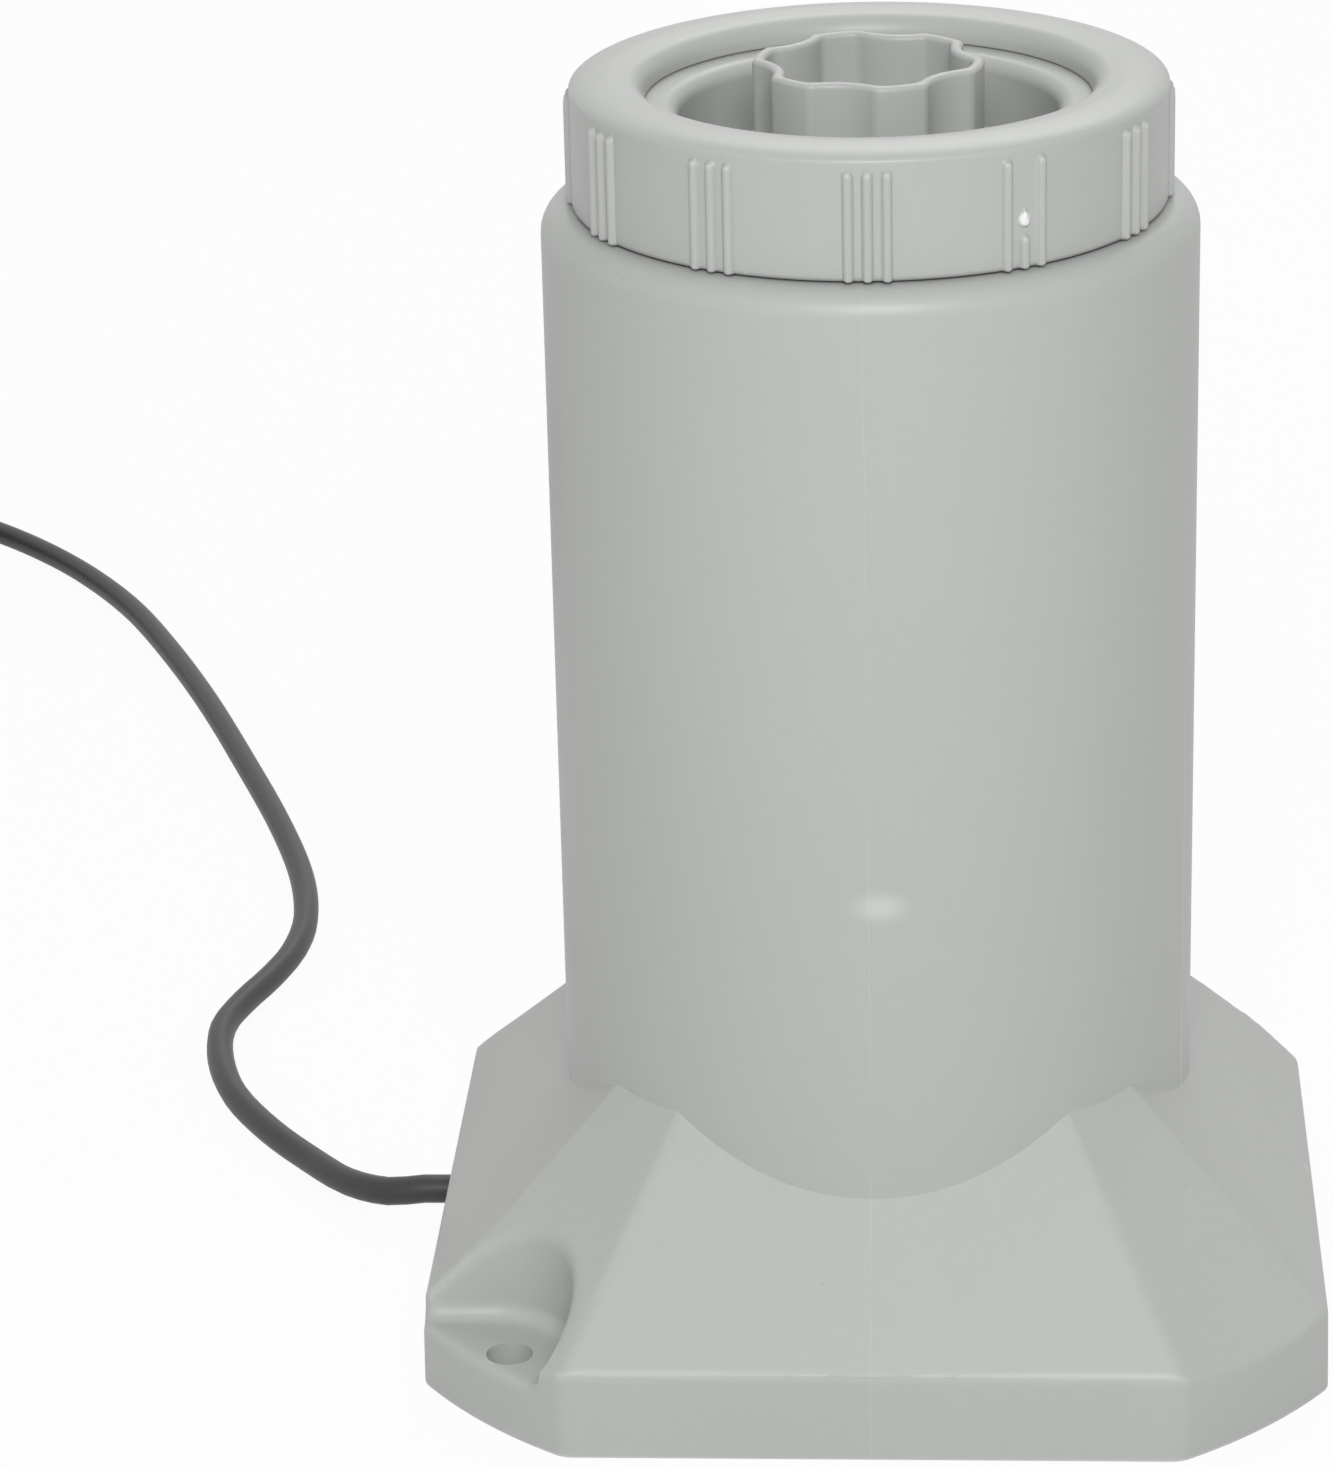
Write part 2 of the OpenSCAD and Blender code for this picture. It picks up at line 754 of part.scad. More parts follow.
module cartridge_cap() {
    ring(cartridge_r, cartridge_bore_r, 0, cap_t);
    ring(cartridge_r, cartridge_r - cap_rim_t, 0, cap_t + cap_rim_h);
}

module cartridge_cap_lower() color([0.2, 0.4, 0.7])
    translate([0, 0, canister_floor_z])
        cartridge_cap();

module cartridge_cap_upper() color([0.2, 0.4, 0.7])
    translate([0, 0, cartridge_top_z])
        mirror([0, 0, 1])
            cartridge_cap();

module cartridge_media() color([0.95, 0.95, 0.93])
    translate([0, 0, canister_floor_z + cap_t])
        linear_extrude(height = cartridge_h - 2 * cap_t)
            difference() {
                pleat_outline(pleat_out_r, pleat_in_r + pleat_step);
                pleat_outline(pleat_out_r - pleat_step, pleat_in_r);
            }

module pleat_outline(r_out, r_in) {
    polygon([for (i = [0:2 * pleats - 1])
        let (a = 180 * i / pleats, r = i % 2 == 0 ? r_out : r_in) [r * cos(a), r * sin(a)]]);
}

module cartridge_core() color([0.9, 0.9, 0.9]) {
    z = canister_floor_z + cap_t;
    h = cartridge_h - 2 * cap_t;
    row_h = h / core_rows;
    difference() {
        ring(cartridge_bore_r + core_t, cartridge_bore_r, z, h);
        for (i = [0:core_slots - 1])
            for (row = [0:core_rows - 1])
                rotate([0, 0, 360 * i / core_slots])
                    translate([0, -core_slot_w / 2, z + row * row_h + core_slot_margin])
                        cube([cartridge_r, core_slot_w, row_h - 2 * core_slot_margin]);
    }
}

// Pump

module pump_plate() color([0.25, 0.25, 0.27])
    difference() {
        union() {
            rod(0, 0, pump_plate_r, pump_plate_z, chamber_floor_z);
            rod(0, 0, can_bore_r + can_wall, can_floor_z - can_floor_t, chamber_floor_z);
        }
        difference() {
            rod(0, 0, can_bore_r, can_floor_z, chamber_floor_z + over);
            ring(lower_seat_r + run_fit + seat_cup_t, lower_seat_r + run_fit, can_floor_z - over, seat_cup_h + over);
        }
        ring(pump_seal_ring_r + pump_groove_w / 2, pump_seal_ring_r - pump_groove_w / 2,
             chamber_floor_z - pump_groove_depth, pump_groove_depth + over);
        pump_screw_rods(screw_r + screw_play, pump_plate_z - over, chamber_floor_z + over);
    }

module pump_seal() color([0.12, 0.12, 0.12])
    translate([0, 0, chamber_floor_z + seat_gap - pump_seal_r])
        rotate_extrude()
            translate([pump_seal_ring_r, 0])
                circle(r = pump_seal_r, $fn = 32);

module pump_plate_screws() color([0.75, 0.76, 0.78]) {
    pump_screw_rods(screw_head_r, case_flange_z - pump_screw_head_h, case_flange_z);
    pump_screw_rods(screw_r, case_flange_z - pump_screw_head_h, chamber_floor_z + pump_screw_l - screw_tip_gap);
}

module impeller() color([0.85, 0.85, 0.85]) {
    disc_z = chamber_floor_z + disc_gap;
    vane_z = disc_z + disc_t / 2;
    vane_h = chamber_roof_z - vane_gap - vane_z;
    difference() {
        union() {
            rod(0, 0, hub_r, magnet_z + magnet_h, hub_top_z);
            rod(0, 0, impeller_r, disc_z, disc_z + disc_t);
            for (i = [0:vanes - 1])
                rotate([0, 0, 360 * i / vanes])
                    translate([hub_r - vane_bite, -vane_t / 2, vane_z])
                        cube([impeller_r - hub_r, vane_t, vane_h]);
        }
        rod(0, 0, shaft_r + run_fit, magnet_z, chamber_roof_z);
    }
}

module rotor_magnet() color([0.22, 0.22, 0.22])
    ring(magnet_r, sleeve_r + run_fit, magnet_z, magnet_h);

module rotor_sleeve() color([0.5, 0.42, 0.34])
    ring(sleeve_r, shaft_r + run_fit, magnet_z, magnet_h);

module thrust_washer() {
    ring(washer_r, shaft_r + run_fit, 0, washer_t);
}

module thrust_washer_lower() color([0.93, 0.92, 0.88])
    translate([0, 0, washer_lower_z])
        thrust_washer();

module thrust_washer_upper() color([0.93, 0.92, 0.88])
    translate([0, 0, washer_upper_z])
        thrust_washer();

module shaft() color([0.93, 0.92, 0.88])
    rod(0, 0, shaft_r, shaft_z, shaft_top_z);

module shaft_seat_lower() color([0.15, 0.15, 0.15])
    difference() {
        rod(0, 0, lower_seat_r, can_floor_z, can_floor_z + lower_seat_h);
        rod(0, 0, shaft_r + run_fit, shaft_z, can_floor_z + lower_seat_h + over);
    }

module shaft_seat_upper() color([0.15, 0.15, 0.15])
    difference() {
        rod(0, 0, upper_seat_r, upper_seat_z, upper_seat_top_z);
        rod(0, 0, shaft_r + run_fit, upper_seat_z - over, shaft_top_z);
    }

// Stator and motor case

module slab(x, y, z, w, l, h) {
    translate([x, y, z])
        cube([w, l, h]);
}

module stator_core() color([0.55, 0.56, 0.58])
    difference() {
        union() {
            slab(-pole_x, -pole_y, core_z, 2 * pole_x, 2 * pole_y, core_h);
            for (side = [-1, 1])
                slab(side * arm_mid - arm_w / 2, 0, core_z, arm_w, yoke_y, core_h);
            slab(-arm_x - arm_w, yoke_y, core_z, 2 * (arm_x + arm_w), yoke_w, core_h);
        }
        rod(0, 0, core_bore_r, core_z - over, core_z + core_h + over);
        slab(-pole_slot_w / 2, -pole_y - over, core_z - over, pole_slot_w, 2 * (pole_y + over), core_h + 2 * over);
    }

// A rectangular sleeve round an arm: grow is its reach past the arm on every side
module arm_sleeve(side, grow, hole, y, l) {
    difference() {
        slab(side * arm_mid - arm_w / 2 - grow, y, core_z - grow, arm_w + 2 * grow, l, core_h + 2 * grow);
        slab(side * arm_mid - arm_w / 2 - hole, y - over, core_z - hole,
             arm_w + 2 * hole, l + 2 * over, core_h + 2 * hole);
    }
}

module bobbin(side) {
    y = pole_y + bobbin_inset;
    l = arm_l - 2 * bobbin_inset;
    arm_sleeve(side, bobbin_play + bobbin_t, bobbin_play, y, l);
    arm_sleeve(side, bobbin_flange, bobbin_play, y, bobbin_t);
    arm_sleeve(side, bobbin_flange, bobbin_play, y + l - bobbin_t, bobbin_t);
}

module winding(side) {
    y = pole_y + bobbin_inset + bobbin_t + run_fit;
    l = arm_l - 2 * (bobbin_inset + bobbin_t + run_fit);
    arm_sleeve(side, bobbin_flange - coil_inset, bobbin_play + bobbin_t + run_fit, y, l);
}

module bobbin_left() color([0.9, 0.9, 0.88])
    bobbin(-1);

module bobbin_right() color([0.9, 0.9, 0.88])
    bobbin(1);

module coil_left() color([0.72, 0.4, 0.22])
    winding(-1);

module coil_right() color([0.72, 0.4, 0.22])
    winding(1);

module motor_case() color([0.15, 0.15, 0.16])
    difference() {
        union() {
            slab(-case_half - case_wall, -case_front_y - case_wall, case_floor_z - case_wall,
                 2 * (case_half + case_wall), case_front_y + case_back_y + 2 * case_wall,
                 pump_plate_z - case_floor_z + case_wall);
            rod(0, 0, pump_plate_r, case_flange_z, pump_plate_z);
        }
        difference() {
            slab(-case_half, -case_front_y, case_floor_z, 2 * case_half, case_front_y + case_back_y,
                 pump_plate_z - case_floor_z + over);
            case_ledges();
        }
        pump_screw_rods(screw_r + screw_play, case_flange_z - over, pump_plate_z + over);
        translate([-case_half - case_wall - over, exit_y, tail_in_z])
            rotate([0, 90, 0])
                cylinder(r = cord_r + run_fit, h = case_wall + 2 * over);
    }

// Ledges in the case's corners, which carry the core
module case_ledges() {
    h = core_z - case_floor_z + over;
    for (side = [-1, 1]) {
        slab(side * (case_half - ledge_w / 2) - ledge_w / 2, -case_front_y, case_floor_z - over, ledge_w, ledge_l, h);
        slab(side * arm_mid - ledge_w / 2, case_back_y - ledge_l, case_floor_z - over, ledge_w, ledge_l, h);
    }
}

// Cable

module cable_grommet() color([0.1, 0.1, 0.1])
    translate([grommet_x, exit_y, exit_z])
        rotate([0, 90, 0])
            cylinder(r = grommet_r, h = grommet_l);

module cable_tail() color([0.13, 0.13, 0.13]) {
    wall_x = -case_half - case_wall;
    tube([[grommet_end_x, exit_y, exit_z], [grommet_end_x + tail_run, exit_y, exit_z],
          [tail_bend_x, exit_y, tail_bend_z], [tail_rise_x, exit_y, tail_rise_z],
          [wall_x - tail_stub, exit_y, tail_in_z], [wall_x + case_wall, exit_y, tail_in_z]],
         cord_r, cord_sides);
}

module lead_wires() color([0.5, 0.3, 0.2])
    for (side = [-1, 1]) {
        y = exit_y + side * wire_space;
        end_x = -arm_mid - side * wire_d;
        end_y = pole_y + bobbin_inset;
        tube([[-case_half, y, tail_in_z], [-case_half + tail_stub, y, tail_in_z],
              [wire_x - side * wire_d, y + wire_run, wire_mid_z],
              [end_x, end_y - wire_run, wire_end_z], [end_x, end_y, wire_end_z]],
             wire_r, small_sides);
    }

// Place and direction on the coil after t turns
function coil_radius(t) =
    let (lay = floor(t / coil_cycle), s = coil_pitch * min(t - lay * coil_cycle, coil_lay_turns))
    lay % 2 == 0 ? coil_out_r - s : coil_in_r + s;
function coil_height(t) =
    let (lay = floor(t / coil_cycle), s = max(0, t - lay * coil_cycle - coil_lay_turns) / coil_climb_turns)
    coil_base_z + coil_layer_h * (lay + s);
function coil_point(t) =
    let (a = coil_start_turn + 360 * t, r = coil_radius(t))
    [coil_mid[0] + r * cos(a), coil_mid[1] + r * sin(a), coil_height(t)];
function coil_heading(t) = let (a = coil_start_turn + 360 * t) [-sin(a), cos(a), 0];
coil_steps = round(coil_turns * coil_rings);
coil_first = coil_point(0) - cord_d * coil_heading(0);
coil_last = coil_point(coil_turns) + cord_d * coil_heading(coil_turns);
coil_path = concat([coil_first], [for (i = [0:coil_steps]) coil_point(coil_turns * i / coil_steps)], [coil_last]);

lead_path = smooth(concat(
    [[grommet_x, exit_y, exit_z], [grommet_x - cord_d, exit_y, exit_z]], cord_route,
    [coil_first - cord_d * coil_heading(0), coil_first]), ring_step);
tail_path = smooth(concat(
    [coil_last, coil_last + cord_d * coil_heading(coil_turns)], tail_route, [plug_mid]), ring_step);

module cord() color([0.13, 0.13, 0.13]) {
    tube(lead_path, cord_r, cord_sides);
    tube(tail_path, cord_r, cord_sides);
}

module cord_coil() color([0.13, 0.13, 0.13])
    tube(coil_path, cord_r, small_sides);

// The least gap between turns, measured on the ring centres, and the cable's whole length
coil_gap = min([for (i = [0:len(coil_path) - 1]) for (k = [i + coil_rings / 2:len(coil_path) - 1])
    norm(coil_path[i] - coil_path[k])]) - cord_d;
echo(coil_gap = coil_gap, length = path_length(lead_path) + path_length(coil_path) + path_length(tail_path),
     lead_rings = len(lead_path), tail_rings = len(tail_path));

// A flat band round all the turns at one place
module coil_tie() color([0.08, 0.08, 0.08]) {
    low = coil_in_r - cord_r - clear;
    high = coil_out_r + cord_r + clear;
    top = coil_base_z + (coil_layers - 1) * coil_layer_h + cord_r + clear;
    translate([coil_mid[0], coil_mid[1], 0])
        rotate([0, 0, tie_turn])
            difference() {
                slab(low - tie_t, -tie_w / 2, 0, high - low + 2 * tie_t, tie_w, top + tie_t);
                slab(low, -tie_w / 2 - over, tie_t, high - low, tie_w + 2 * over, top - tie_t);
            }
}

module along_plug(s, r, l, r_end) {
    translate([plug_mid[0], plug_mid[1] - s, plug_mid[2]])
        rotate([90, 0, 0])
            cylinder(r1 = r, r2 = r_end, h = l);
}

module connector() color([0.1, 0.1, 0.1]) {
    along_plug(0, cord_r + boot_wall, boot_l, plug_r);
    along_plug(boot_l, plug_r, plug_l, plug_r);
    along_plug(boot_l + plug_l, nose_r, nose_l, nose_r);
}

module connector_pins() color([0.8, 0.7, 0.4])
    for (side = [-1, 1])
        translate([side * pin_x, 0, 0])
            along_plug(boot_l + plug_l + nose_l, pin_r, pin_l, pin_r);

housing();
base_plate();
base_plate_screws();
collar();
lid();
lid_seal();
cartridge_media();
cartridge_cap_upper();
cartridge_cap_lower();
cartridge_core();
pump_plate();
pump_seal();
pump_plate_screws();
impeller();
rotor_magnet();
rotor_sleeve();
thrust_washer_lower();
thrust_washer_upper();
shaft();
shaft_seat_lower();
shaft_seat_upper();
stator_core();
bobbin_left();
bobbin_right();
coil_left();
coil_right();
motor_case();
lead_wires();
cable_tail();
cable_grommet();
cord();
cord_coil();
coil_tie();
connector();
connector_pins();
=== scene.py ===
"""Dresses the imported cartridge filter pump: moulded shells, lid, collar, lead and their finishes."""

import contextlib
import json
import math

import bmesh
import bpy
import numpy as np
from mathutils import Matrix, Vector


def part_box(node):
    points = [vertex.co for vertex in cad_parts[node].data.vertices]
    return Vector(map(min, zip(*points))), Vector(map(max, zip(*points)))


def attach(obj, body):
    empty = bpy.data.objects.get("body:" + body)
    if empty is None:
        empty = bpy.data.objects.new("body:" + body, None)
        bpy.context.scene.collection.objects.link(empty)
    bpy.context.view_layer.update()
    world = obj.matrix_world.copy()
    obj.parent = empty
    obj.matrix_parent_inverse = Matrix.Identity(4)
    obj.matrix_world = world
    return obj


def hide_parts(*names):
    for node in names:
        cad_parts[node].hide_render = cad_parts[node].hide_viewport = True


bl_info = {
    "name": "Cartridge filter pump",
    "version": (1, 0, 0),
    "blender": (4, 5, 0),
    "location": "View3D > Sidebar > Pump",
    "description": "Builds the looks of an upright cartridge filter pump around its packed model",
    "category": "Object",
}

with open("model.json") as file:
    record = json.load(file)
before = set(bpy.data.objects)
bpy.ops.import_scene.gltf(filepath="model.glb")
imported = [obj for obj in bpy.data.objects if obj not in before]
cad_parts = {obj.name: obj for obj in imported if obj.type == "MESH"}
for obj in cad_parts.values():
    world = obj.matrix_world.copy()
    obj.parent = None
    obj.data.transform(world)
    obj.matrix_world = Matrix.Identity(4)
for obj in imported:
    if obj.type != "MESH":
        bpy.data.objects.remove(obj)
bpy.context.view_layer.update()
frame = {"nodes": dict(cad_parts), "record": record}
NODES = frame["nodes"]
MM = 0.001
SAME_POINT = 1e-7  # metres between points that count as one


def size(text, millimetres):
    """A length property whose default is given in millimetres."""
    return bpy.props.FloatProperty(description=text, default=millimetres * MM, unit="LENGTH", precision=5)


def turn(text, degrees):
    """An angle property whose default is given in degrees."""
    return bpy.props.FloatProperty(description=text, default=math.radians(degrees), subtype="ANGLE")


def tint(text, red, green, blue):
    """A colour property."""
    return bpy.props.FloatVectorProperty(
        description=text, default=(red, green, blue), subtype="COLOR", min=0, max=1
    )


def point(text, x, y, z):
    """A place property, in metres."""
    return bpy.props.FloatVectorProperty(description=text, default=(x, y, z), unit="LENGTH")


def share(text, value):
    """A plain number property."""
    return bpy.props.FloatProperty(description=text, default=value)


def count(text, value):
    """A whole number property."""
    return bpy.props.IntProperty(description=text, default=value)


# Sizes


class StageSizes(bpy.types.PropertyGroup):
    """Camera, lamps and floor."""

    lens: share("Focal length in millimetres on a 36 mm sensor", 132.716)
    place: point("Where the camera stands", 0.0206, -0.8701, 0.4483)
    pitch: turn("How far the camera looks down", 21.790)
    roll: turn("How far the camera leans", -1.455)
    yaw: turn("How far the camera turns to the left", 3.734)
    floor_half: size("Half the width of the floor", 3000)
    floor_white: share("How white the lit floor looks", 0.80)
    floor_glow: share("What the camera sees of the floor in full shade", 0.94)
    sky: share("Strength of the even light from all round", 0.42)
    key_power: share("Power of the soft lamp above the front", 14.8)
    key_place: point("Where the key lamp hangs", 0.08, -1.28, 1.02)
    key_width: size("Width of the key lamp", 700)
    rear_power: share("Power of the soft lamp behind", 6.0)
    rear_place: point("Where the rear lamp hangs", 0.1, 1.0, 1.2)
    rear_width: size("Width of the rear lamp", 900)


class LeadSizes(bpy.types.PropertyGroup):
    """The thin black lead, its coil and its connector."""

    thick: size("Diameter of the lead", 5.2)
    step: size("Distance between points of the free stretches", 4)
    coil_x: size("Middle of the coil, sideways", -284)
    coil_y: size("Middle of the coil, front to back", 373)
    coil_radius: size("Radius of the outermost turn", 36.3)
    coil_pitch: size("Distance between turns of one layer", 6.6)
    coil_rise: size("Height of one layer", 5.8)
    coil_low: size("Height of the lowest turns' middle", 3.6)
    coil_start: turn("Direction of the first point from the coil's middle", 53)
    layers: count("Layers of the coil", 4)
    lay_turns: share("Turns in one layer", 2.2)
    climb_turns: share("Turns taken to climb to the next layer", 0.5)
    turn_points: count("Points in one turn", 40)
    tie_width: size("Width of the band round the coil", 9)
    tie_thick: size("Thickness of the band round the coil", 0.8)
    tie_turn: turn("Direction of the band from the coil's middle", 300)
    tie_round: size("Rounding of the band's outline", 2.2)
    gap: size("Room between the band and the turns", 0.3)


class ShellSizes(bpy.types.PropertyGroup):
    """The one moulded shell: foot, canister, neck and hose spigots."""

    radius: size("Outer radius of the canister", 55)
    wall: size("Wall of the shell", 3)
    shoulder: size("Height of the canister's shoulder", 196)
    shoulder_round: size("Radius of the rounded shoulder", 4.5)
    neck_radius: size("Outer radius of the neck", 43.6)
    neck_top: size("Height of the neck's rim", 209.3)
    neck_bore: size("Inner radius of the neck", 41.2)
    roof: size("Height of the roof inside the shoulder", 193)
    canister_floor: size("Height of the floor under the cartridge", 88)
    floor_thick: size("Thickness of that floor", 4)
    canister_low: size("Where the canister's wall ends inside the foot", 28)
    segments: count("Points round the canister", 256)
    base_half: size("Half the width of the foot at the floor", 77.4)
    draft: size("How far the flange leans in", 0.3)
    flange: size("Height of the upright flange", 15.15)
    corner_radius: size("Radius of the circle that rounds the corners", 93)
    corner_reach: size("Where a corner's slope is level with the flange", 91.2)
    corner_slope: share("Rise of a corner's slope", 0.9)
    edge_soft: size("Softness of the flange's upper edge", 0.9)
    ridge_soft: size("Softness of the ridges between the faces", 0.8)
    pocket_x: size("Middle of the screw pocket, sideways", 64.7)
    pocket_y: size("Middle of the screw pocket, front to back", 62.6)
    pocket_radius: size("Radius of the screw pocket", 14.3)
    pocket_floor: size("Height of the pocket's floor", 11)
    pocket_foot_round: size("Rounding between the pocket's wall and floor", 3)
    pocket_rim_round: size("Rounding of the pocket's rim", 1.6)
    hole: size("Distance of a fixing hole from the axis, sideways and back", 61.5)
    hole_radius: size("Radius of a fixing hole", 4)
    post_radius: size("Radius of the post round a fixing hole", 8)
    centre_drop: size("How far below the floor the foot's mesh is cast from", 50)
    columns: count("Points round the foot", 720)
    rows: count("Points up the foot", 150)
    spigot_radius: size("Outer radius of a hose spigot", 16)
    spigot_bore: size("Inner radius of a hose spigot", 13.5)
    spigot_root: size("Radius of the ring at a spigot's root", 19)
    spigot_root_end: size("Distance of the root ring's face from the axis", 60)
    spigot_plain: size("Where the tip of a spigot starts to taper", 92)
    spigot_end: size("Distance of the tip from the axis", 96)
    spigot_tip: size("Outer radius at the tip", 15)
    duct_radius: size("Outer radius of the duct to the lower spigot", 7.6)
    duct_bore: size("Inner radius of that duct", 6.5)
    chamber: size("Radius of the pump chamber", 25)
    chamber_low: size("Height of the pump chamber's rim", 68.2)
    thread_low: size("Height of the middle of the thread's first end", 199.2)
    boss_place: size("Distance of a base screw from the axis", 64)
    boss_radius: size("Radius of a screw boss", 4.5)
    pilot: size("Radius of a screw's hole", 1.55)
    pump_screw_place: size("Distance of a pump screw from the axis", 43)
    lead_y: size("Place of the lead's exit, front to back", 9.5)
    lead_z: size("Height of the lead's exit", 6.5)
    lead_hole: size("Radius of the hole for the grommet", 3.65)
    thread_pitch: size("Rise of the thread in one turn", 6)
    thread_turns: share("Length of the thread in turns", 1.07)
    thread_crest: size("Outer radius of the neck's thread", 45.3)
    thread_bite: size("How far the thread reaches into the wall", 0.5)
    thread_foot: size("Width of the thread at its foot", 4)
    thread_edge: size("Width of the thread at its crest", 2.2)
    seat: size("Outer radius of the seat ring under the cartridge", 14.6)
    seat_wall: size("Wall of the seat ring", 2.4)
    seat_top: size("Height of the seat ring", 96)
    eye: size("Radius of the opening into the pump", 11)
    land: size("Outer radius of the land for the pump plate", 37.5)
    plate_top: size("Height of the base plate's upper face", 2.6)
    boss_top: size("Height of a base screw's boss", 23)
    lead_hole_depth: size("Depth of the hole for the grommet", 9.5)
    hub: size("Outer radius of the spider's hub", 5.4)
    hub_bore: size("Inner radius of the spider's hub", 3.45)
    arms: count("Arms of the spider", 3)
    arm_width: size("Width of an arm of the spider", 2.6)
    inlet_height: size("Height of the upper spigot", 150)
    outlet_height: size("Height of the lower spigot", 76)


class CollarSizes(bpy.types.PropertyGroup):
    """The ribbed collar."""

    low: size("Height of the collar's lower edge", 196.3)
    high: size("Height of the collar's top", 217.85)
    radius: size("Outer radius of the wall", 49.7)
    bore: size("Inner radius of the wall", 46)
    lip_bore: size("Radius of the top opening", 37.1)
    lip_under: size("Height of the lip's underside", 213.0)
    groups: count("Groups of ribs", 12)
    first_turn: turn("Turn of the first group from the front", 0.9)
    rib_step: size("Distance between ribs of a group", 3.1)
    rib_half: size("Half the width of a rib", 0.85)
    rib_proud: size("How far a rib stands out", 0.9)
    rib_top: size("Height of the ribs' upper ends", 214.55)
    stub_top: size("Height of the short rib's upper end", 201.9)
    drop_low: size("Lower end of the drop mark", 203.2)
    drop_high: size("Upper end of the drop mark", 206.7)
    drop_half: size("Half the width of the drop mark", 0.95)
    marked: count("Number of the group with the drop mark", 1)
    row_step: size("Distance between the rows of the wall's mesh", 0.35)
    columns: count("Points round the collar", 1440)
    thread_crest: size("Inner radius of the collar's thread", 44.1)
    thread_low: size("Height of the middle of the thread's first end", 198.6)
    thread_bite: size("How far the thread reaches into the wall", 0.5)
    thread_foot: size("Width of the thread at its foot", 3.4)
    thread_edge: size("Width of the thread at its crest", 1.87)
    thread_pitch: size("Rise of the thread in one turn", 6)
    thread_start: share("Place of the thread's first end in turns", -0.6)
    thread_turns: share("Length of the thread in turns", 1.07)
    edge: size("Rounding of the wall's lower edge", 0.9)
    shoulder_wide: size("Width of the rounded shoulder", 7.1)
    shoulder_high: size("Height of the rounded shoulder", 2.1)
    lip_fall: size("How far the lip lies below the top", 0.45)
    lip_round: size("Rounding of the lip's edge", 3.5)
    bead: size("Inner radius of the bead under the lid", 44)
    bead_top: size("Height of the bead's upper face", 209.35)
    bead_low: size("Height of the bead's lower edge", 208.25)
    bead_foot: size("Height where the bead's slope meets the wall", 207.15)
    rib_end: size("Length over which a rib's lower end rounds", 0.6)
    drop_proud: size("How far the drop mark stands out", 0.6)
    drop_soft: size("Width of the drop mark's rounded edge", 0.45)


class LidSizes(bpy.types.PropertyGroup):
    """The dished lid and its lobed grip."""

    flange_low: size("Underside of the lid's flange", 209.6)
    flange_top: size("Top of the lid's flange", 212.9)
    flange_radius: size("Outer radius of the flange", 45.6)
    dish: size("Radius of the dish", 31.5)
    dish_floor: size("Height of the dish's floor", 197.2)
    roll: size("Radius of the rolled edge into the dish", 2.6)
    wall: size("Wall of the dish", 2.4)
    plug: size("Radius of the plug in the neck", 40.8)
    groove: size("Radius of the seal's groove", 38.5)
    groove_height: size("Height of the seal's middle", 200.4)
    groove_half: size("Half the width of the groove", 1.45)
    skirt: size("Lower end of the plug", 197)
    pedestal: size("Radius of the round foot under the grip", 21.1)
    pedestal_top: size("Height of that foot", 206)
    stem: size("Outer radius of the stem that holds the cartridge down", 14.6)
    stem_bore: size("Inner radius of the stem", 12.6)
    stem_low: size("Lower end of the stem", 170)
    grip: size("Largest radius of the grip", 19.2)
    grip_wall: size("Wall of the grip", 2)
    grip_top: size("Height of the grip's rim", 219.7)
    flute: size("Radius of a hollow in the grip", 9.5)
    flute_place: size("Distance of a hollow's middle from the axis", 26.2)
    flute_soft: size("Softness of the edges between the hollows", 0.7)
    lobes: count("Hollows round the grip", 6)
    lobe_turn: turn("Direction of the first hollow", -42)
    grip_columns: count("Points round the grip", 720)
    rim: size("Rounding of the grip's rim", 0.85)
    flare: size("Small hollow round the foot of the grip", 0.6)
    soft: size("Rounding of the lid's edges", 0.9)
    skirt_bore: size("Inner radius of the plug", 36.9)
    segments: count("Points round the lid", 256)


class Finish(bpy.types.PropertyGroup):
    """Colours of the materials."""

    shell: tint("Pale grey moulded plastic of the shell", 0.445, 0.458, 0.443)
    collar: tint("Pale grey plastic of the collar", 0.445, 0.458, 0.443)
    lid: tint("Pale grey plastic of the lid", 0.445, 0.458, 0.443)
    base: tint("Grey plastic of the base plate", 0.42, 0.43, 0.42)
    black: tint("Filled plastic of the motor parts", 0.022, 0.022, 0.024)
    lead: tint("Jacket of the lead", 0.030, 0.031, 0.033)
    rubber: tint("Seals and seats", 0.020, 0.020, 0.021)
    paper: tint("Pleated paper", 0.78, 0.77, 0.72)
    cap: tint("Soft end caps of the cartridge", 0.05, 0.13, 0.34)
    white: tint("Cartridge core, bobbins and impeller", 0.62, 0.62, 0.59)
    ferrite: tint("Sintered ferrite", 0.035, 0.035, 0.038)
    carbon: tint("Carbon bearing bush", 0.030, 0.027, 0.025)
    ceramic: tint("Ground ceramic of the shaft", 0.76, 0.73, 0.66)
    steel: tint("Plates and screws", 0.42, 0.43, 0.45)
    copper: tint("Enamelled winding", 0.45, 0.16, 0.06)
    brass: tint("Connector pins", 0.70, 0.52, 0.24)
    wire: tint("Insulation of the two wires", 0.16, 0.045, 0.02)


GROUPS = {
    "pump_stage": StageSizes,
    "pump_lead": LeadSizes,
    "pump_shell": ShellSizes,
    "pump_collar": CollarSizes,
    "pump_lid": LidSizes,
    "pump_finish": Finish,
}


# Meshes


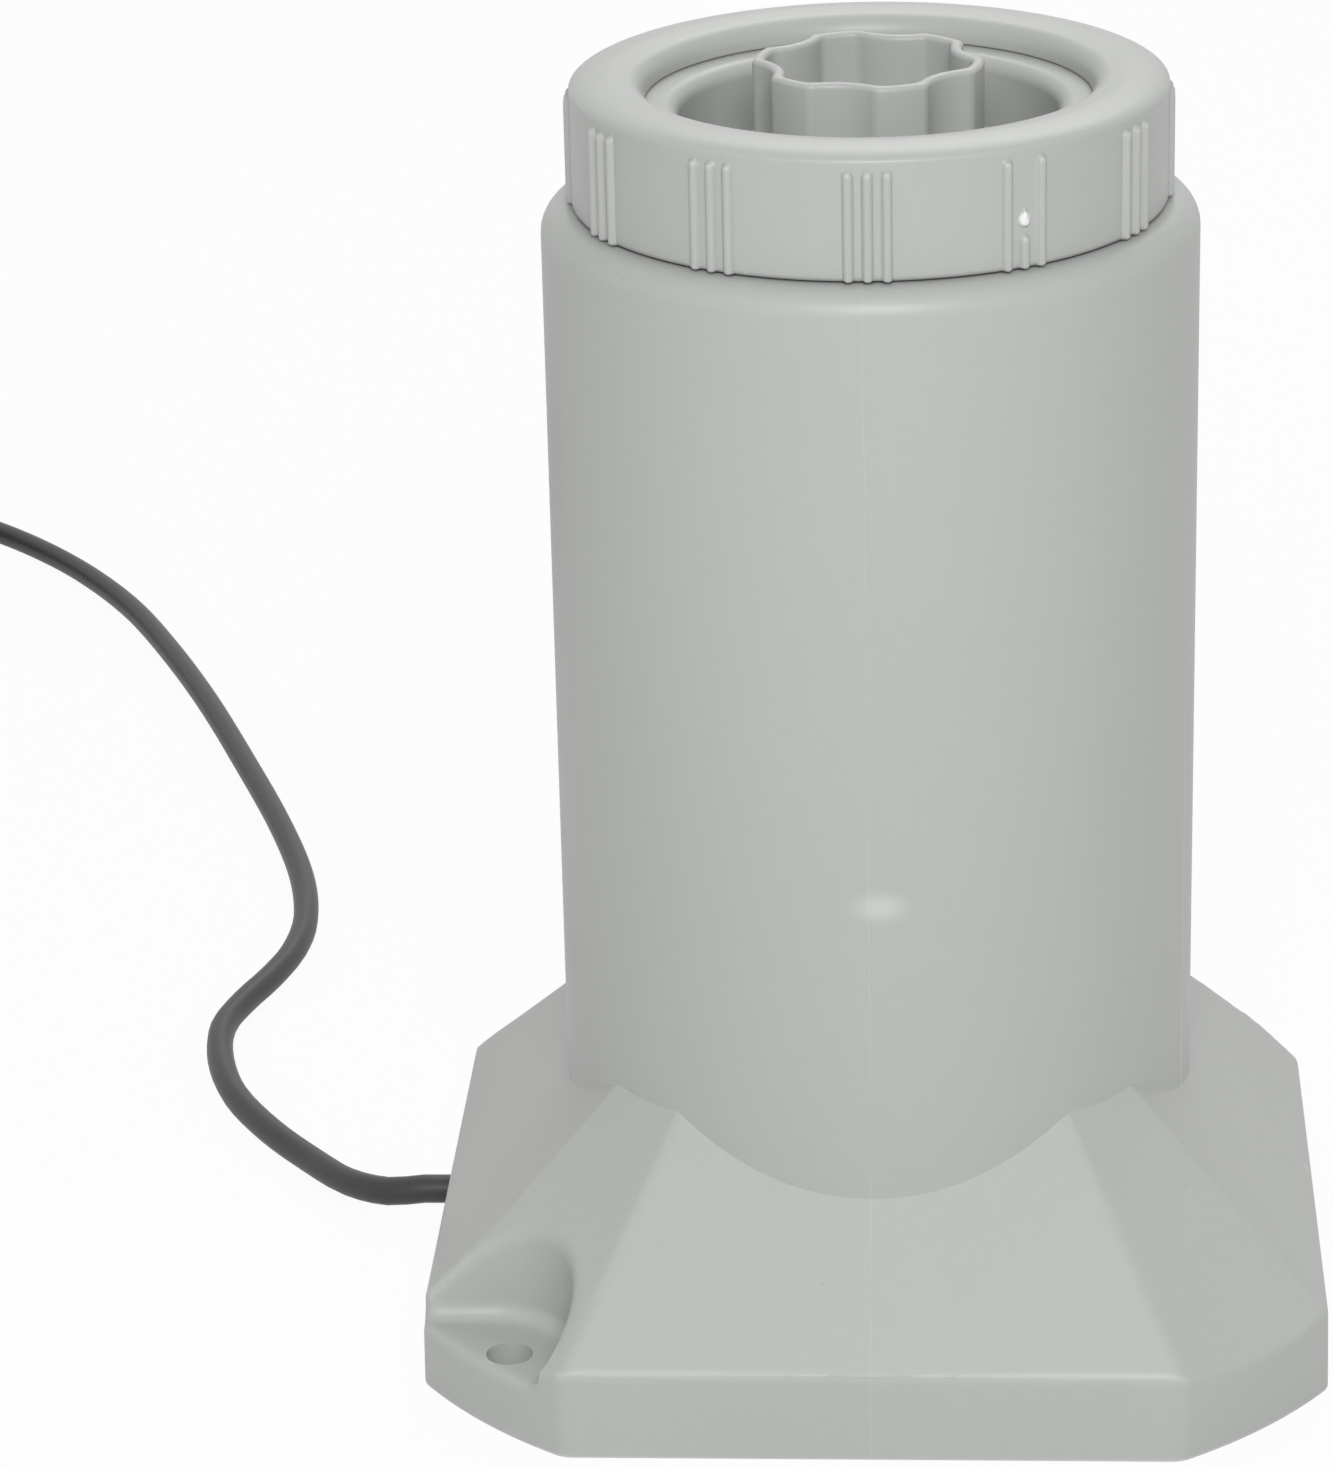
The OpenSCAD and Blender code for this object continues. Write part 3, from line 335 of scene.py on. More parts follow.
def rounded(corners, steps=6):
    """A closed outline in radius and height, with an arc at each corner (r, z, rounding)."""
    n = len(corners)
    out = []
    for i in range(n):
        here = np.array(corners[i][:2])
        rounding = corners[i][2] if len(corners[i]) > 2 else 0
        if not rounding:
            out.append(here)
            continue
        back = np.array(corners[i - 1][:2]) - here
        on = np.array(corners[(i + 1) % n][:2]) - here
        back_way, on_way = back / np.linalg.norm(back), on / np.linalg.norm(on)
        half = math.acos(np.clip(back_way @ on_way, -1, 1)) / 2
        reach = rounding / math.tan(half)
        middle = here + (back_way + on_way) / np.linalg.norm(back_way + on_way) * rounding / math.sin(half)
        start, end = here + back_way * reach - middle, here + on_way * reach - middle
        bend = math.pi - 2 * half
        for t in np.linspace(0, 1, steps + 1):
            spoke = start * math.sin((1 - t) * bend) + end * math.sin(t * bend)
            out.append(middle + spoke / np.linalg.norm(spoke) * rounding)
    return np.array(out)


def bow(middle, radii, start, end, steps=8):
    """Points along an arc of an ellipse, angles in degrees."""
    turns = np.radians(np.linspace(start, end, steps + 1))
    return [(middle[0] + radii[0] * math.cos(a), middle[1] + radii[1] * math.sin(a)) for a in turns]


def grid_mesh(name, points, close_rows=True):
    """A mesh of four-sided faces through a grid of points whose columns close on themselves."""
    rows, columns = points.shape[:2]
    index = np.arange(rows * columns).reshape(rows, columns)
    right = np.roll(index, -1, 1)
    up = np.roll(index, -1, 0)
    both = np.roll(right, -1, 0)
    faces = np.stack([index, right, both, up], -1)
    if not close_rows:
        faces = faces[:-1]
    mesh = bpy.data.meshes.new(name)
    mesh.from_pydata(points.reshape(-1, 3).tolist(), [], faces.reshape(-1, 4).tolist())
    return mesh


@contextlib.contextmanager
def shaping(mesh):
    """Opens a mesh for changes and writes them back."""
    shape = bmesh.new()
    shape.from_mesh(mesh)
    yield shape
    shape.to_mesh(mesh)
    shape.free()


def capped(mesh):
    """Closes a mesh's open ends."""
    with shaping(mesh) as shape:
        bmesh.ops.holes_fill(shape, edges=shape.edges)
    return mesh


def lathe(name, outline, segments, caps=False):
    """A solid of revolution about Z through a closed outline, or an open one with capped ends."""
    turns = np.linspace(0, 2 * math.pi, segments, endpoint=False)
    outline = np.asarray(outline, float)
    points = np.empty((len(outline), segments, 3))
    points[..., 0] = outline[:, :1] * np.cos(turns)
    points[..., 1] = outline[:, :1] * np.sin(turns)
    points[..., 2] = outline[:, 1:]
    return capped(grid_mesh(name, points, close_rows=False)) if caps else grid_mesh(name, points)


def outward(mesh):
    """Turns a closed mesh's faces to the outside."""
    with shaping(mesh) as shape:
        bmesh.ops.remove_doubles(shape, verts=shape.verts, dist=SAME_POINT)
        bmesh.ops.delete(shape, geom=[edge for edge in shape.edges if edge.is_wire], context="EDGES")
        bmesh.ops.recalc_face_normals(shape, faces=shape.faces)
        if shape.calc_volume(signed=True) < 0:
            bmesh.ops.reverse_faces(shape, faces=shape.faces)
    return mesh


def together(name, meshes):
    """One mesh from several, each of which stays as it is."""
    shape = bmesh.new()
    for mesh in meshes:
        shape.from_mesh(mesh)
        bpy.data.meshes.remove(mesh)
    whole = bpy.data.meshes.new(name)
    shape.to_mesh(whole)
    shape.free()
    return whole


def combine(mesh, *changes):
    """A closed mesh after its Boolean operations with others, given as (operation, mesh)."""
    scene = bpy.context.scene
    body = bpy.data.objects.new("body", outward(mesh))
    scene.collection.objects.link(body)
    knives = []
    for operation, tool in changes:
        knife = bpy.data.objects.new("tool", outward(tool))
        scene.collection.objects.link(knife)
        change = body.modifiers.new("change", "BOOLEAN")
        change.operation = operation
        change.object = knife
        change.solver = "MANIFOLD"
        knives.append(knife)
    bpy.context.view_layer.update()
    result = bpy.data.meshes.new_from_object(body.evaluated_get(bpy.context.evaluated_depsgraph_get()))
    for thing in (body, *knives):
        old = thing.data
        bpy.data.objects.remove(thing)
        bpy.data.meshes.remove(old)
    if not result.polygons:
        raise RuntimeError(f"nothing is left of {mesh.name}")
    return result


def place(mesh, at=(0, 0, 0), towards="Z"):
    """Turns a mesh made along Z towards another axis and moves it."""
    turns = {
        "Z": Matrix.Identity(4),
        "Y": Matrix.Rotation(math.radians(-90), 4, "X"),
        "-Y": Matrix.Rotation(math.radians(90), 4, "X"),
        "X": Matrix.Rotation(math.radians(90), 4, "Y"),
    }
    mesh.transform(Matrix.Translation(at) @ turns[towards])
    return mesh


QUARTER = math.pi / 2
# Steps of small and of large roundings
FEW_STEPS, MORE_STEPS = 5, 8
# Sides of round shapes: holes, small parts, rods, rings, spigots and the foot's corners
HOLE_SIDES, SMALL_SIDES, ROD_SIDES, RING_SIDES, SPIGOT_SIDES, CORNER_SIDES = 24, 32, 48, 64, 96, 360


def in_metres(outline):
    """An outline given in millimetres."""
    return [(r * MM, z * MM) for r, z in outline]


def rod(radius, low, high, segments=ROD_SIDES):
    """A plain round solid along Z."""
    return lathe("rod", [(radius, low), (radius, high)], segments, caps=True)


def round_about(radius, quarter, offset=0.0):
    """A place on the floor at a radius, so many quarter turns round from an offset."""
    a = QUARTER * quarter + offset
    return (radius * math.cos(a), radius * math.sin(a), 0)


def piece(name, mesh, body, material, stands_for=(), sharp=32):
    """Puts a finished mesh into the scene as a piece of the object."""
    mesh.name = name
    mesh.materials.clear()
    mesh.materials.append(material)
    mesh.polygons.foreach_set("use_smooth", [True] * len(mesh.polygons))
    mesh.set_sharp_from_angle(angle=math.radians(sharp))
    thing = bpy.data.objects.new(name, mesh)
    bpy.context.scene.collection.objects.link(thing)
    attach(thing, body)
    if stands_for:
        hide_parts(*stands_for)
    return thing


# Materials


# The colour sockets of a mix node
MIX_FIRST, MIX_SECOND, MIX_RESULT = 6, 7, 2
# Waves of the plastic's flow in one metre, long in height
FLOW_STRETCH = (60.0, 60.0, 9.0)
# How space is turned and pressed together so that round cells become thin scratches
SCRATCH_SHAPE = {"Rotation": (0.5, 0.9, 0.3), "Scale": (1.0, 14.0, 1.4)}
# Where in depth the blush round the gate fades out
GATE_FADE = (-50 * MM, -40 * MM)
# Where noise fades in or out: edges of scratches, places with scratches, edges of specks, chosen specks
# and breaks in the parting line
LINE_FADE, RARE_FADE, DOT_FADE, CHOSEN_FADE = (0.02, 0.09), (0.63, 0.70), (0.03, 0.06), (0.90, 0.91)
BROKEN_FADE = (0.35, 0.6)
# Waves in a metre: what bends the scratches, where they are, and the breaks in the parting line
BENT_SCALE, RARE_SCALE, BROKEN_SCALE = 25.0, 21.0, 45.0
# Share of the bending, and how far the parting line stands out against the grain
BENT, LINE_LIFT = 0.25, 2.0
# Strength and depth of the grain of moulded plastic
GRAIN = (0.12, 0.08 * MM)


class Nodes:
    """Places and links the nodes of one tree."""

    def __init__(self, tree):
        self.tree = tree
        self.tree.nodes.clear()

    def fill(self, node, values):
        """Sets a node's inputs, or links them to the sockets given."""
        for name, value in values.items():
            if isinstance(value, bpy.types.NodeSocket):
                self.tree.links.new(value, node.inputs[name])
            else:
                node.inputs[name].default_value = value
        return node

    def add(self, kind, values=None, **settings):
        node = self.tree.nodes.new(kind)
        for name, value in settings.items():
            setattr(node, name, value)
        return self.fill(node, values or {})

    def use(self, group, **values):
        """Places a node group, with underscores for the spaces in the names of its inputs."""
        node = self.add("ShaderNodeGroup", node_tree=group)
        return self.fill(node, {name.replace("_", " "): value for name, value in values.items()}).outputs

    def math(self, operation, first, second=0.0):
        return self.add("ShaderNodeMath", {0: first, 1: second}, operation=operation).outputs[0]

    def times(self, first, second):
        return self.math("MULTIPLY", first, second)

    def fade(self, value, low, high, from_value=0.0, to_value=1.0):
        return self.add(
            "ShaderNodeMapRange",
            {"Value": value, "From Min": low, "From Max": high, "To Min": from_value, "To Max": to_value},
            interpolation_type="SMOOTHSTEP",
        ).outputs[0]

    def mix(self, amount, first, second, blend="MIX"):
        values = {"Factor": amount, MIX_FIRST: first, MIX_SECOND: second}
        return self.add("ShaderNodeMix", values, data_type="RGBA", blend_type=blend).outputs[MIX_RESULT]

    def where(self):
        """A point's place on the object."""
        return self.add("ShaderNodeTexCoord").outputs["Object"]

    def noise(self, where, scale, detail):
        return self.add("ShaderNodeTexNoise", {"Vector": where, "Scale": scale, "Detail": detail}).outputs

    def bump(self, height, strength, distance):
        values = {"Height": height, "Strength": strength, "Distance": distance}
        return self.add("ShaderNodeBump", values).outputs[0]

    def unlit(self):
        """1 for rays that only look, which see the white background, and 0 for rays that light."""
        rays = self.add("ShaderNodeLightPath").outputs
        seen = self.math("MAXIMUM", rays["Is Camera Ray"], rays["Is Glossy Ray"])
        return self.math("MAXIMUM", seen, rays["Is Transmission Ray"])


def start_group(name, inputs, outputs):
    """A new shader node group: its nodes, the sockets that come in, and the node that puts out."""
    tree = bpy.data.node_groups.new(name, "ShaderNodeTree")
    for way, sockets in (("INPUT", inputs), ("OUTPUT", outputs)):
        for socket in sockets:
            kind = "NodeSocketColor" if socket == "Color" else "NodeSocketFloat"
            made = tree.interface.new_socket(name=socket, in_out=way, socket_type=kind)
            if way == "INPUT":
                made.default_value = inputs[socket]
    build = Nodes(tree)
    return build, build.add("NodeGroupInput").outputs, build.add("NodeGroupOutput")


def moulded_tone():
    """Broad cloudy tone and fine mottling of moulded plastic."""
    build, given, out = start_group(
        "Moulded tone",
        {"Color": (0.5, 0.5, 0.5, 1), "Cloud Scale": 14.0, "Cloud": 0.05, "Mottle Scale": 420.0,
         "Mottle": 0.03, "Flow": 0.02},
        ("Color", "Tone"),
    )
    where = build.where()
    cloud = build.noise(where, given["Cloud Scale"], 3.0)
    mottle = build.noise(where, given["Mottle Scale"], 2.0)
    stretched = build.add("ShaderNodeMapping", {"Vector": where, "Scale": FLOW_STRETCH})
    flow = build.noise(stretched.outputs[0], 1.0, 4.0)
    tone = 1.0
    for noise, amount in ((cloud, "Cloud"), (mottle, "Mottle"), (flow, "Flow")):
        centred = build.math("SUBTRACT", noise[0], 0.5)
        tone = build.math("ADD", build.times(centred, given[amount]), tone)
    grey = build.add("ShaderNodeCombineColor", {"Red": tone, "Green": tone, "Blue": tone}).outputs[0]
    build.fill(out, {"Color": build.mix(1.0, given["Color"], grey, "MULTIPLY"), "Tone": tone})
    return build.tree


def fine_grain():
    """Height of a fine spark-eroded grain."""
    build, given, out = start_group(
        "Fine grain", {"Scale": 1500.0, "Wave Scale": 90.0, "Wave": 0.3}, ("Height",)
    )
    where = build.where()
    grain = build.noise(where, given["Scale"], 2.0)
    wave = build.noise(where, given["Wave Scale"], 1.0)
    build.fill(out, {"Height": build.math("ADD", grain[0], build.times(wave[0], given["Wave"]))})
    return build.tree


def scuffs():
    """Mask of sparse short pale scratches and small specks."""
    build, given, out = start_group(
        "Scuffs", {"Scale": 55.0, "Amount": 0.5, "Speck Scale": 130.0}, ("Scratches", "Specks")
    )
    where = build.where()
    bent = build.mix(BENT, where, build.noise(where, BENT_SCALE, 1.0)["Color"])
    thin = build.add("ShaderNodeMapping", {"Vector": bent, **SCRATCH_SHAPE})
    cells = build.add("ShaderNodeTexVoronoi", {"Vector": thin.outputs[0], "Scale": given["Scale"]})
    line = build.fade(cells.outputs["Distance"], *LINE_FADE, 1.0, 0.0)
    rare = build.fade(build.noise(where, RARE_SCALE, 0.0)[0], *RARE_FADE)
    dots = build.add("ShaderNodeTexVoronoi", {"Vector": where, "Scale": given["Speck Scale"]}).outputs
    dot = build.fade(dots["Distance"], *DOT_FADE, 1.0, 0.0)
    chosen = build.add("ShaderNodeSeparateColor", {0: dots["Color"]}).outputs[0]
    build.fill(out, {
        "Scratches": build.times(build.times(line, rare), given["Amount"]),
        "Specks": build.times(dot, build.fade(chosen, *CHOSEN_FADE)),
    })
    return build.tree


def painted_edge_highlight():
    """Mask of the convex edges, where a painted highlight makes moulded plastic paler."""
    build, given, out = start_group("Painted edge highlight", {"Low": 0.515, "High": 0.56}, ("Mask",))
    point = build.add("ShaderNodeNewGeometry").outputs["Pointiness"]
    build.fill(out, {"Mask": build.fade(point, given["Low"], given["High"])})
    return build.tree


def seam_mask():
    """Mask of the parting line, in the plane X = 0, and of the blush round the gate in front."""
    build, given, out = start_group(
        "Seam",
        {"Half Width": 0.12 * MM, "Gate Height": 90.7 * MM, "Gate Side": 1.9 * MM, "Gate Size": 6.4 * MM,
         "Gate Squash": 1.7},
        ("Line", "Blush"),
    )
    where = build.where()
    x, y, z = build.add("ShaderNodeSeparateXYZ", {0: where}).outputs
    line = build.fade(build.math("ABSOLUTE", x), 0.0, given["Half Width"], 1.0, 0.0)
    broken = build.fade(build.noise(where, BROKEN_SCALE, 2.0)[0], *BROKEN_FADE)
    up = build.times(build.math("SUBTRACT", z, given["Gate Height"]), given["Gate Squash"])
    side = build.math("SUBTRACT", x, given["Gate Side"])
    away = build.math("SQRT", build.math("ADD", build.times(up, up), build.times(side, side)))
    blush = build.fade(away, 0.0, given["Gate Size"], 1.0, 0.0)
    front = build.fade(y, *GATE_FADE, 1.0, 0.0)
    build.fill(out, {"Line": build.times(line, broken), "Blush": build.times(blush, front)})
    return build.tree


def rgba(colour):
    """A colour with its alpha."""
    return (*colour, 1.0)


def start_material(name):
    """A new material with its Principled surface."""
    material = bpy.data.materials.new(name)
    material.use_nodes = True
    build = Nodes(material.node_tree)
    skin = build.add("ShaderNodeBsdfPrincipled")
    build.add("ShaderNodeOutputMaterial", {"Surface": skin.outputs[0]})
    return material, build, skin


# How strongly each mark shows on moulded plastic, and its colour
MARKS = {
    "Scratches": (0.5, (0.75, 0.76, 0.75, 1.0)),
    "Specks": (0.25, (0.30, 0.31, 0.30, 1.0)),
    "Line": (0.22, (0.72, 0.73, 0.72, 1.0)),
    "Blush": (0.36, (0.78, 0.79, 0.75, 1.0)),
}
# Painted highlight on convex edges: its pale colour and the share of it that is mixed in
EDGE_HIGHLIGHT_COLOUR, EDGE_HIGHLIGHT_SHARE = (0.80, 0.81, 0.80, 1.0), 0.35
# Pale spot on the collar's drop mark, partly the mark's whitish plastic and partly a painted highlight: its
# colour, share and fade
SPOT_PALE, SPOT_SHARE, SPOT_FADE = (0.86, 0.87, 0.86, 1.0), 0.85, (0.8 * MM, 1.4 * MM)
BAND_PALE = (0.05, 0.05, 0.052, 1.0)

# Plain finishes: name, roughness, grain in a metre, grain depth, metallic and specular level
PLAIN = {
    "black": ("Black plastic", 0.42, 900.0, 0.15),
    "lead": ("Lead jacket", 0.46, 1100.0, 0.2, 0.0, 0.45),
    "rubber": ("Black rubber", 0.55, 600.0, 0.1),
    "paper": ("Filter paper", 0.9, 1300.0, 0.6),
    "cap": ("End cap", 0.5, 500.0, 0.1),
    "white": ("Pale plastic", 0.42, 900.0, 0.08),
    "ferrite": ("Ferrite", 0.6, 1500.0, 0.4, 0.3),
    "carbon": ("Carbon", 0.35, 1600.0, 0.1),
    "ceramic": ("Ceramic", 0.18, 800.0, 0.02),
    "steel": ("Steel", 0.32, 1200.0, 0.1, 1.0),
    "brass": ("Brass", 0.25, 1000.0, 0.05, 1.0),
    "wire": ("Wire insulation", 0.35, 1000.0, 0.05),
}


class Finishes:
    """The materials of the object, each made when it is first asked for."""

    def __init__(self):
        self.made = {}
        self.groups = {}

    def group(self, maker):
        if maker.__name__ not in self.groups:
            self.groups[maker.__name__] = maker()
        return self.groups[maker.__name__]

    def get(self, name):
        if name not in self.made:
            colours = bpy.context.scene.pump_finish
            if name in PLAIN:
                self.made[name] = self.plain(getattr(colours, name), *PLAIN[name])
            else:
                self.made[name] = getattr(self, name)(colours)
        return self.made[name]

    def moulded(self, name, colour, rough, mottle=0.03, seam=False, spot=None):
        """Moulded plastic with a painted highlight on its convex edges, and the parting line and gate or a
        pale spot where asked.
        """
        material, build, skin = start_material(name)
        tone = build.use(self.group(moulded_tone), Color=rgba(colour), Mottle=mottle)
        # Convex edges get a painted highlight: the tone is mixed halfway to a pale colour, then mixed in by
        # the edge mask
        edge = build.use(self.group(painted_edge_highlight))["Mask"]
        pale = build.mix(0.5, tone["Color"], EDGE_HIGHLIGHT_COLOUR)
        look = build.mix(build.times(edge, EDGE_HIGHLIGHT_SHARE), tone["Color"], pale)
        height = build.use(self.group(fine_grain))["Height"]
        masks = [*build.use(self.group(scuffs))]
        if seam:
            masks += build.use(self.group(seam_mask))
        for mask in masks:
            amount, shade = MARKS[mask.name]
            look = build.mix(build.times(mask, amount), look, shade)
            if mask.name == "Line":
                height = build.math("ADD", height, build.times(mask, LINE_LIFT))
        # The pale spot: partly whitish plastic, partly a painted highlight
        if spot:
            away = build.add("ShaderNodeVectorMath", {0: build.where(), 1: spot}, operation="DISTANCE")
            near = build.fade(away.outputs["Value"], *SPOT_FADE, SPOT_SHARE, 0.0)
            look = build.mix(near, look, SPOT_PALE)
        build.fill(skin, {
            "Base Color": look, "Roughness": build.times(tone["Tone"], rough), "Specular IOR Level": 0.42,
            "Normal": build.bump(height, *GRAIN),
        })
        return material

    def shell(self, colours):
        return self.moulded("Shell plastic", colours.shell, rough=0.42, seam=True)

    def collar(self, colours):
        """The collar's plastic, with a pale spot on the drop mark: partly its whitish plastic, partly a
        painted highlight.
        """
        s = bpy.context.scene.pump_collar
        a = s.first_turn + 2 * math.pi * s.marked / s.groups
        reach = s.radius + s.drop_proud
        spot = (reach * math.sin(a), -reach * math.cos(a), (s.drop_low + s.drop_high) / 2 - s.drop_half / 3)
        return self.moulded("Collar plastic", colours.collar, rough=0.40, spot=spot)

    def lid(self, colours):
        return self.moulded("Lid plastic", colours.lid, rough=0.40)

    def base(self, colours):
        return self.moulded("Base plastic", colours.base, rough=0.5, mottle=0.05)

    def plain(self, colour, name, rough, grain, depth, metallic=0.0, level=0.5):
        """A finish of one colour with its own grain and tone."""
        material, build, skin = start_material(name)
        tone = build.use(
            self.group(moulded_tone), Color=rgba(colour), Cloud=0.12, Mottle=0.10, Mottle_Scale=grain
        )
        height = build.use(self.group(fine_grain), Scale=grain)["Height"]
        build.fill(skin, {
            "Base Color": tone["Color"], "Roughness": build.times(tone["Tone"], rough), "Metallic": metallic,
            "Specular IOR Level": level, "Normal": build.bump(height, depth, 0.1 * MM),
        })
        return material

    def banded(self, name, colour, dark, waves, distortion, direction, depth, metallic, rough):
        """Metal in fine bands along one direction, a share darker between them."""
        material, build, skin = start_material(name)
        values = {"Vector": build.where(), "Scale": waves, "Distortion": distortion}
        bands = build.add("ShaderNodeTexWave", values, bands_direction=direction).outputs[1]
        build.fill(skin, {
            "Base Color": build.mix(bands, rgba([dark * c for c in colour]), rgba(colour)),
            "Metallic": metallic, "Roughness": rough, "Normal": build.bump(bands, depth, 0.2 * MM),
        })
        return material

    def plates(self, colours):
        """Stacked plates: fine level lines."""
        return self.banded(
            "Core plates", colours.steel, dark=0.5, waves=310.0, distortion=0.2, direction="Z",
            depth=0.5, metallic=0.9, rough=0.45,
        )

    def copper(self, colours):
        """Enamelled wire: close bands along the arm."""
        return self.banded(
            "Copper winding", colours.copper, dark=0.35, waves=480.0, distortion=0.3, direction="Y",
            depth=0.8, metallic=0.6, rough=0.3,
        )

    def band(self, colours):
        """Hook and loop band: a fine woven look."""
        material, build, skin = start_material("Woven band")
        cells = build.add("ShaderNodeTexVoronoi", {"Vector": build.where(), "Scale": 1500.0})
        weave = cells.outputs["Distance"]
        build.fill(skin, {
            "Base Color": build.mix(weave, rgba(colours.rubber), BAND_PALE), "Roughness": 0.85,
            "Sheen Weight": 0.4, "Normal": build.bump(weave, 0.7, 0.3 * MM),
        })
        return material


FINISHES = Finishes()


# Shapes


def round_max(first, second, radius):
    """The larger of two distances, with the edge between them rounded."""
    inner = np.minimum(-radius, np.maximum(first, second))
    return inner + np.hypot(np.maximum(first + radius, 0), np.maximum(second + radius, 0))


def foot_distance(s, x, y, z):
    """Distance from the foot's outside, negative within."""
    half = s.base_half - s.draft
    sides = []
    for across in (np.abs(x), np.abs(y)):
        upright = across - (s.base_half - s.draft * z / s.flange)
        slope = (across + z - (half + s.flange)) / math.sqrt(2)
        sides.append(round_max(upright, slope, s.edge_soft))
    upright = np.hypot(x, y) - s.corner_radius
    across = (np.abs(x) + np.abs(y)) / math.sqrt(2)
    rise = s.corner_slope
    slope = (rise * across + z - (s.flange + rise * s.corner_reach)) / math.hypot(1, rise)
    corner = round_max(upright, slope, s.edge_soft)
    whole = round_max(round_max(sides[0], sides[1], s.ridge_soft), corner, s.ridge_soft)
    turned = np.where(x + y > 0, -1.0, 1.0)
    px, py = x * turned + s.pocket_x, y * turned + s.pocket_y
    outline = np.where(px > 0, np.hypot(px, py), np.abs(py)) - s.pocket_radius
    hollow = round_max(outline, s.pocket_floor - z, s.pocket_foot_round)
    return round_max(whole, -hollow, s.pocket_rim_round)


def solve(distance, low, high, steps=40):
    """Where a distance that rises from low to high is zero."""
    for _ in range(steps):
        middle = (low + high) / 2
        inside = distance(middle) < 0
        low, high = np.where(inside, middle, low), np.where(inside, high, middle)
    return (low + high) / 2


# How far about the foot's half width its outline is looked for
SEARCH = 25 * MM
# Steps of a ray towards the foot's skin, each a share of the distance left
CAST_STEPS, CAST_SHARE = 160, 0.98


def foot_skin(s, inset, top_radius, rows):
    """Rows of points over the foot, from the floor to where it meets the canister."""
    # Half a step round, so that no column of points lies in the plane Y = 0
    turns = np.linspace(0, 2 * math.pi, s.columns, endpoint=False) + math.pi / s.columns
    cos, sin = np.cos(turns), np.sin(turns)
    zero = np.zeros_like(turns)
    near, far = zero + s.base_half - SEARCH, zero + s.base_half + SEARCH
    floor = solve(lambda r: foot_distance(s, r * cos, r * sin, zero) + inset, near, far)
    x, y = top_radius * cos, top_radius * sin
    top = solve(lambda z: foot_distance(s, x, y, z) + inset, zero, zero + s.canister_floor)
    start = np.arctan2(s.centre_drop, floor)
    end = np.arctan2(s.centre_drop + top, top_radius)
    share_up = np.linspace(0, 1, rows)[:, None]
    lift = start + (end - start) * share_up
    across, up = np.cos(lift), np.sin(lift)
    reach = s.centre_drop / up
    for _ in range(CAST_STEPS):
        x, y, z = reach * across * cos, reach * across * sin, reach * up - s.centre_drop
        reach = reach + np.maximum(-(foot_distance(s, x, y, z) + inset), 0) * CAST_SHARE
    points = np.stack([reach * across * cos, reach * across * sin, reach * up - s.centre_drop], -1)
    points[0, :, 2] = 0
    return points


# A thread rib fades out over this share of a turn, down to this share of its height
RIB_FADE, RIB_LEAST = 0.06, 0.02


def thread(s, foot, start, steps=180):
    """A thread rib from a radius, fading out at both ends, as a closed mesh."""
    t = np.linspace(start, start + s.thread_turns, steps)
    fade = np.clip(np.minimum(t - start, start + s.thread_turns - t) / RIB_FADE, RIB_LEAST, 1)
    wide, narrow = s.thread_foot / 2, s.thread_edge / 2
    rows = []
    for here, full in zip(t, fade):
        radius = foot + (s.thread_crest - foot) * full
        z = s.thread_low + s.thread_pitch * (here - start)
        turned = 2 * math.pi * here
        section = [(foot, -wide), (radius, -narrow), (radius, narrow), (foot, wide)]
        rows.append([(r * math.cos(turned), r * math.sin(turned), z + dz) for r, dz in section])
    return capped(grid_mesh("rib", np.array(rows), close_rows=False))


def block(low, high):
    """A plain box mesh, used as a tool or a rib."""
    shape = bmesh.new()
    bmesh.ops.create_cube(shape, size=1)
    for vert in shape.verts:
        vert.co = [(a + b) / 2 + c * (b - a) for a, b, c in zip(low, high, vert.co)]
    mesh = bpy.data.meshes.new("block")
    shape.to_mesh(mesh)
    shape.free()
    return mesh


def smooth_path(points, step):
    """A smooth curve through points, with a point about every step."""
    points = [np.asarray(p, float) for p in points]
    out = []
    for i in range(len(points) - 1):
        a, b = points[max(i - 1, 0)], points[i]
        c, d = points[i + 1], points[min(i + 2, len(points) - 1)]
        n = max(1, round(float(np.linalg.norm(c - b)) / step))
        for k in range(n):
            t = k / n
            bend = 2 * b + (c - a) * t + (2 * a - 5 * b + 4 * c - d) * t**2 + (3 * b - a - 3 * c + d) * t**3
            out.append(bend / 2)
    return out + [points[-1]]


# Operators


# The camera's sensor in millimetres, its range in metres, and where the lamps point, in metres
SENSOR, SEEN_FROM, SEEN_TO = 36, 0.05, 50
LAMPS_AIM = (0, 0, 0.1)


class PieceOperator:
    """What the operators share."""

    bl_options = {"REGISTER", "UNDO"}


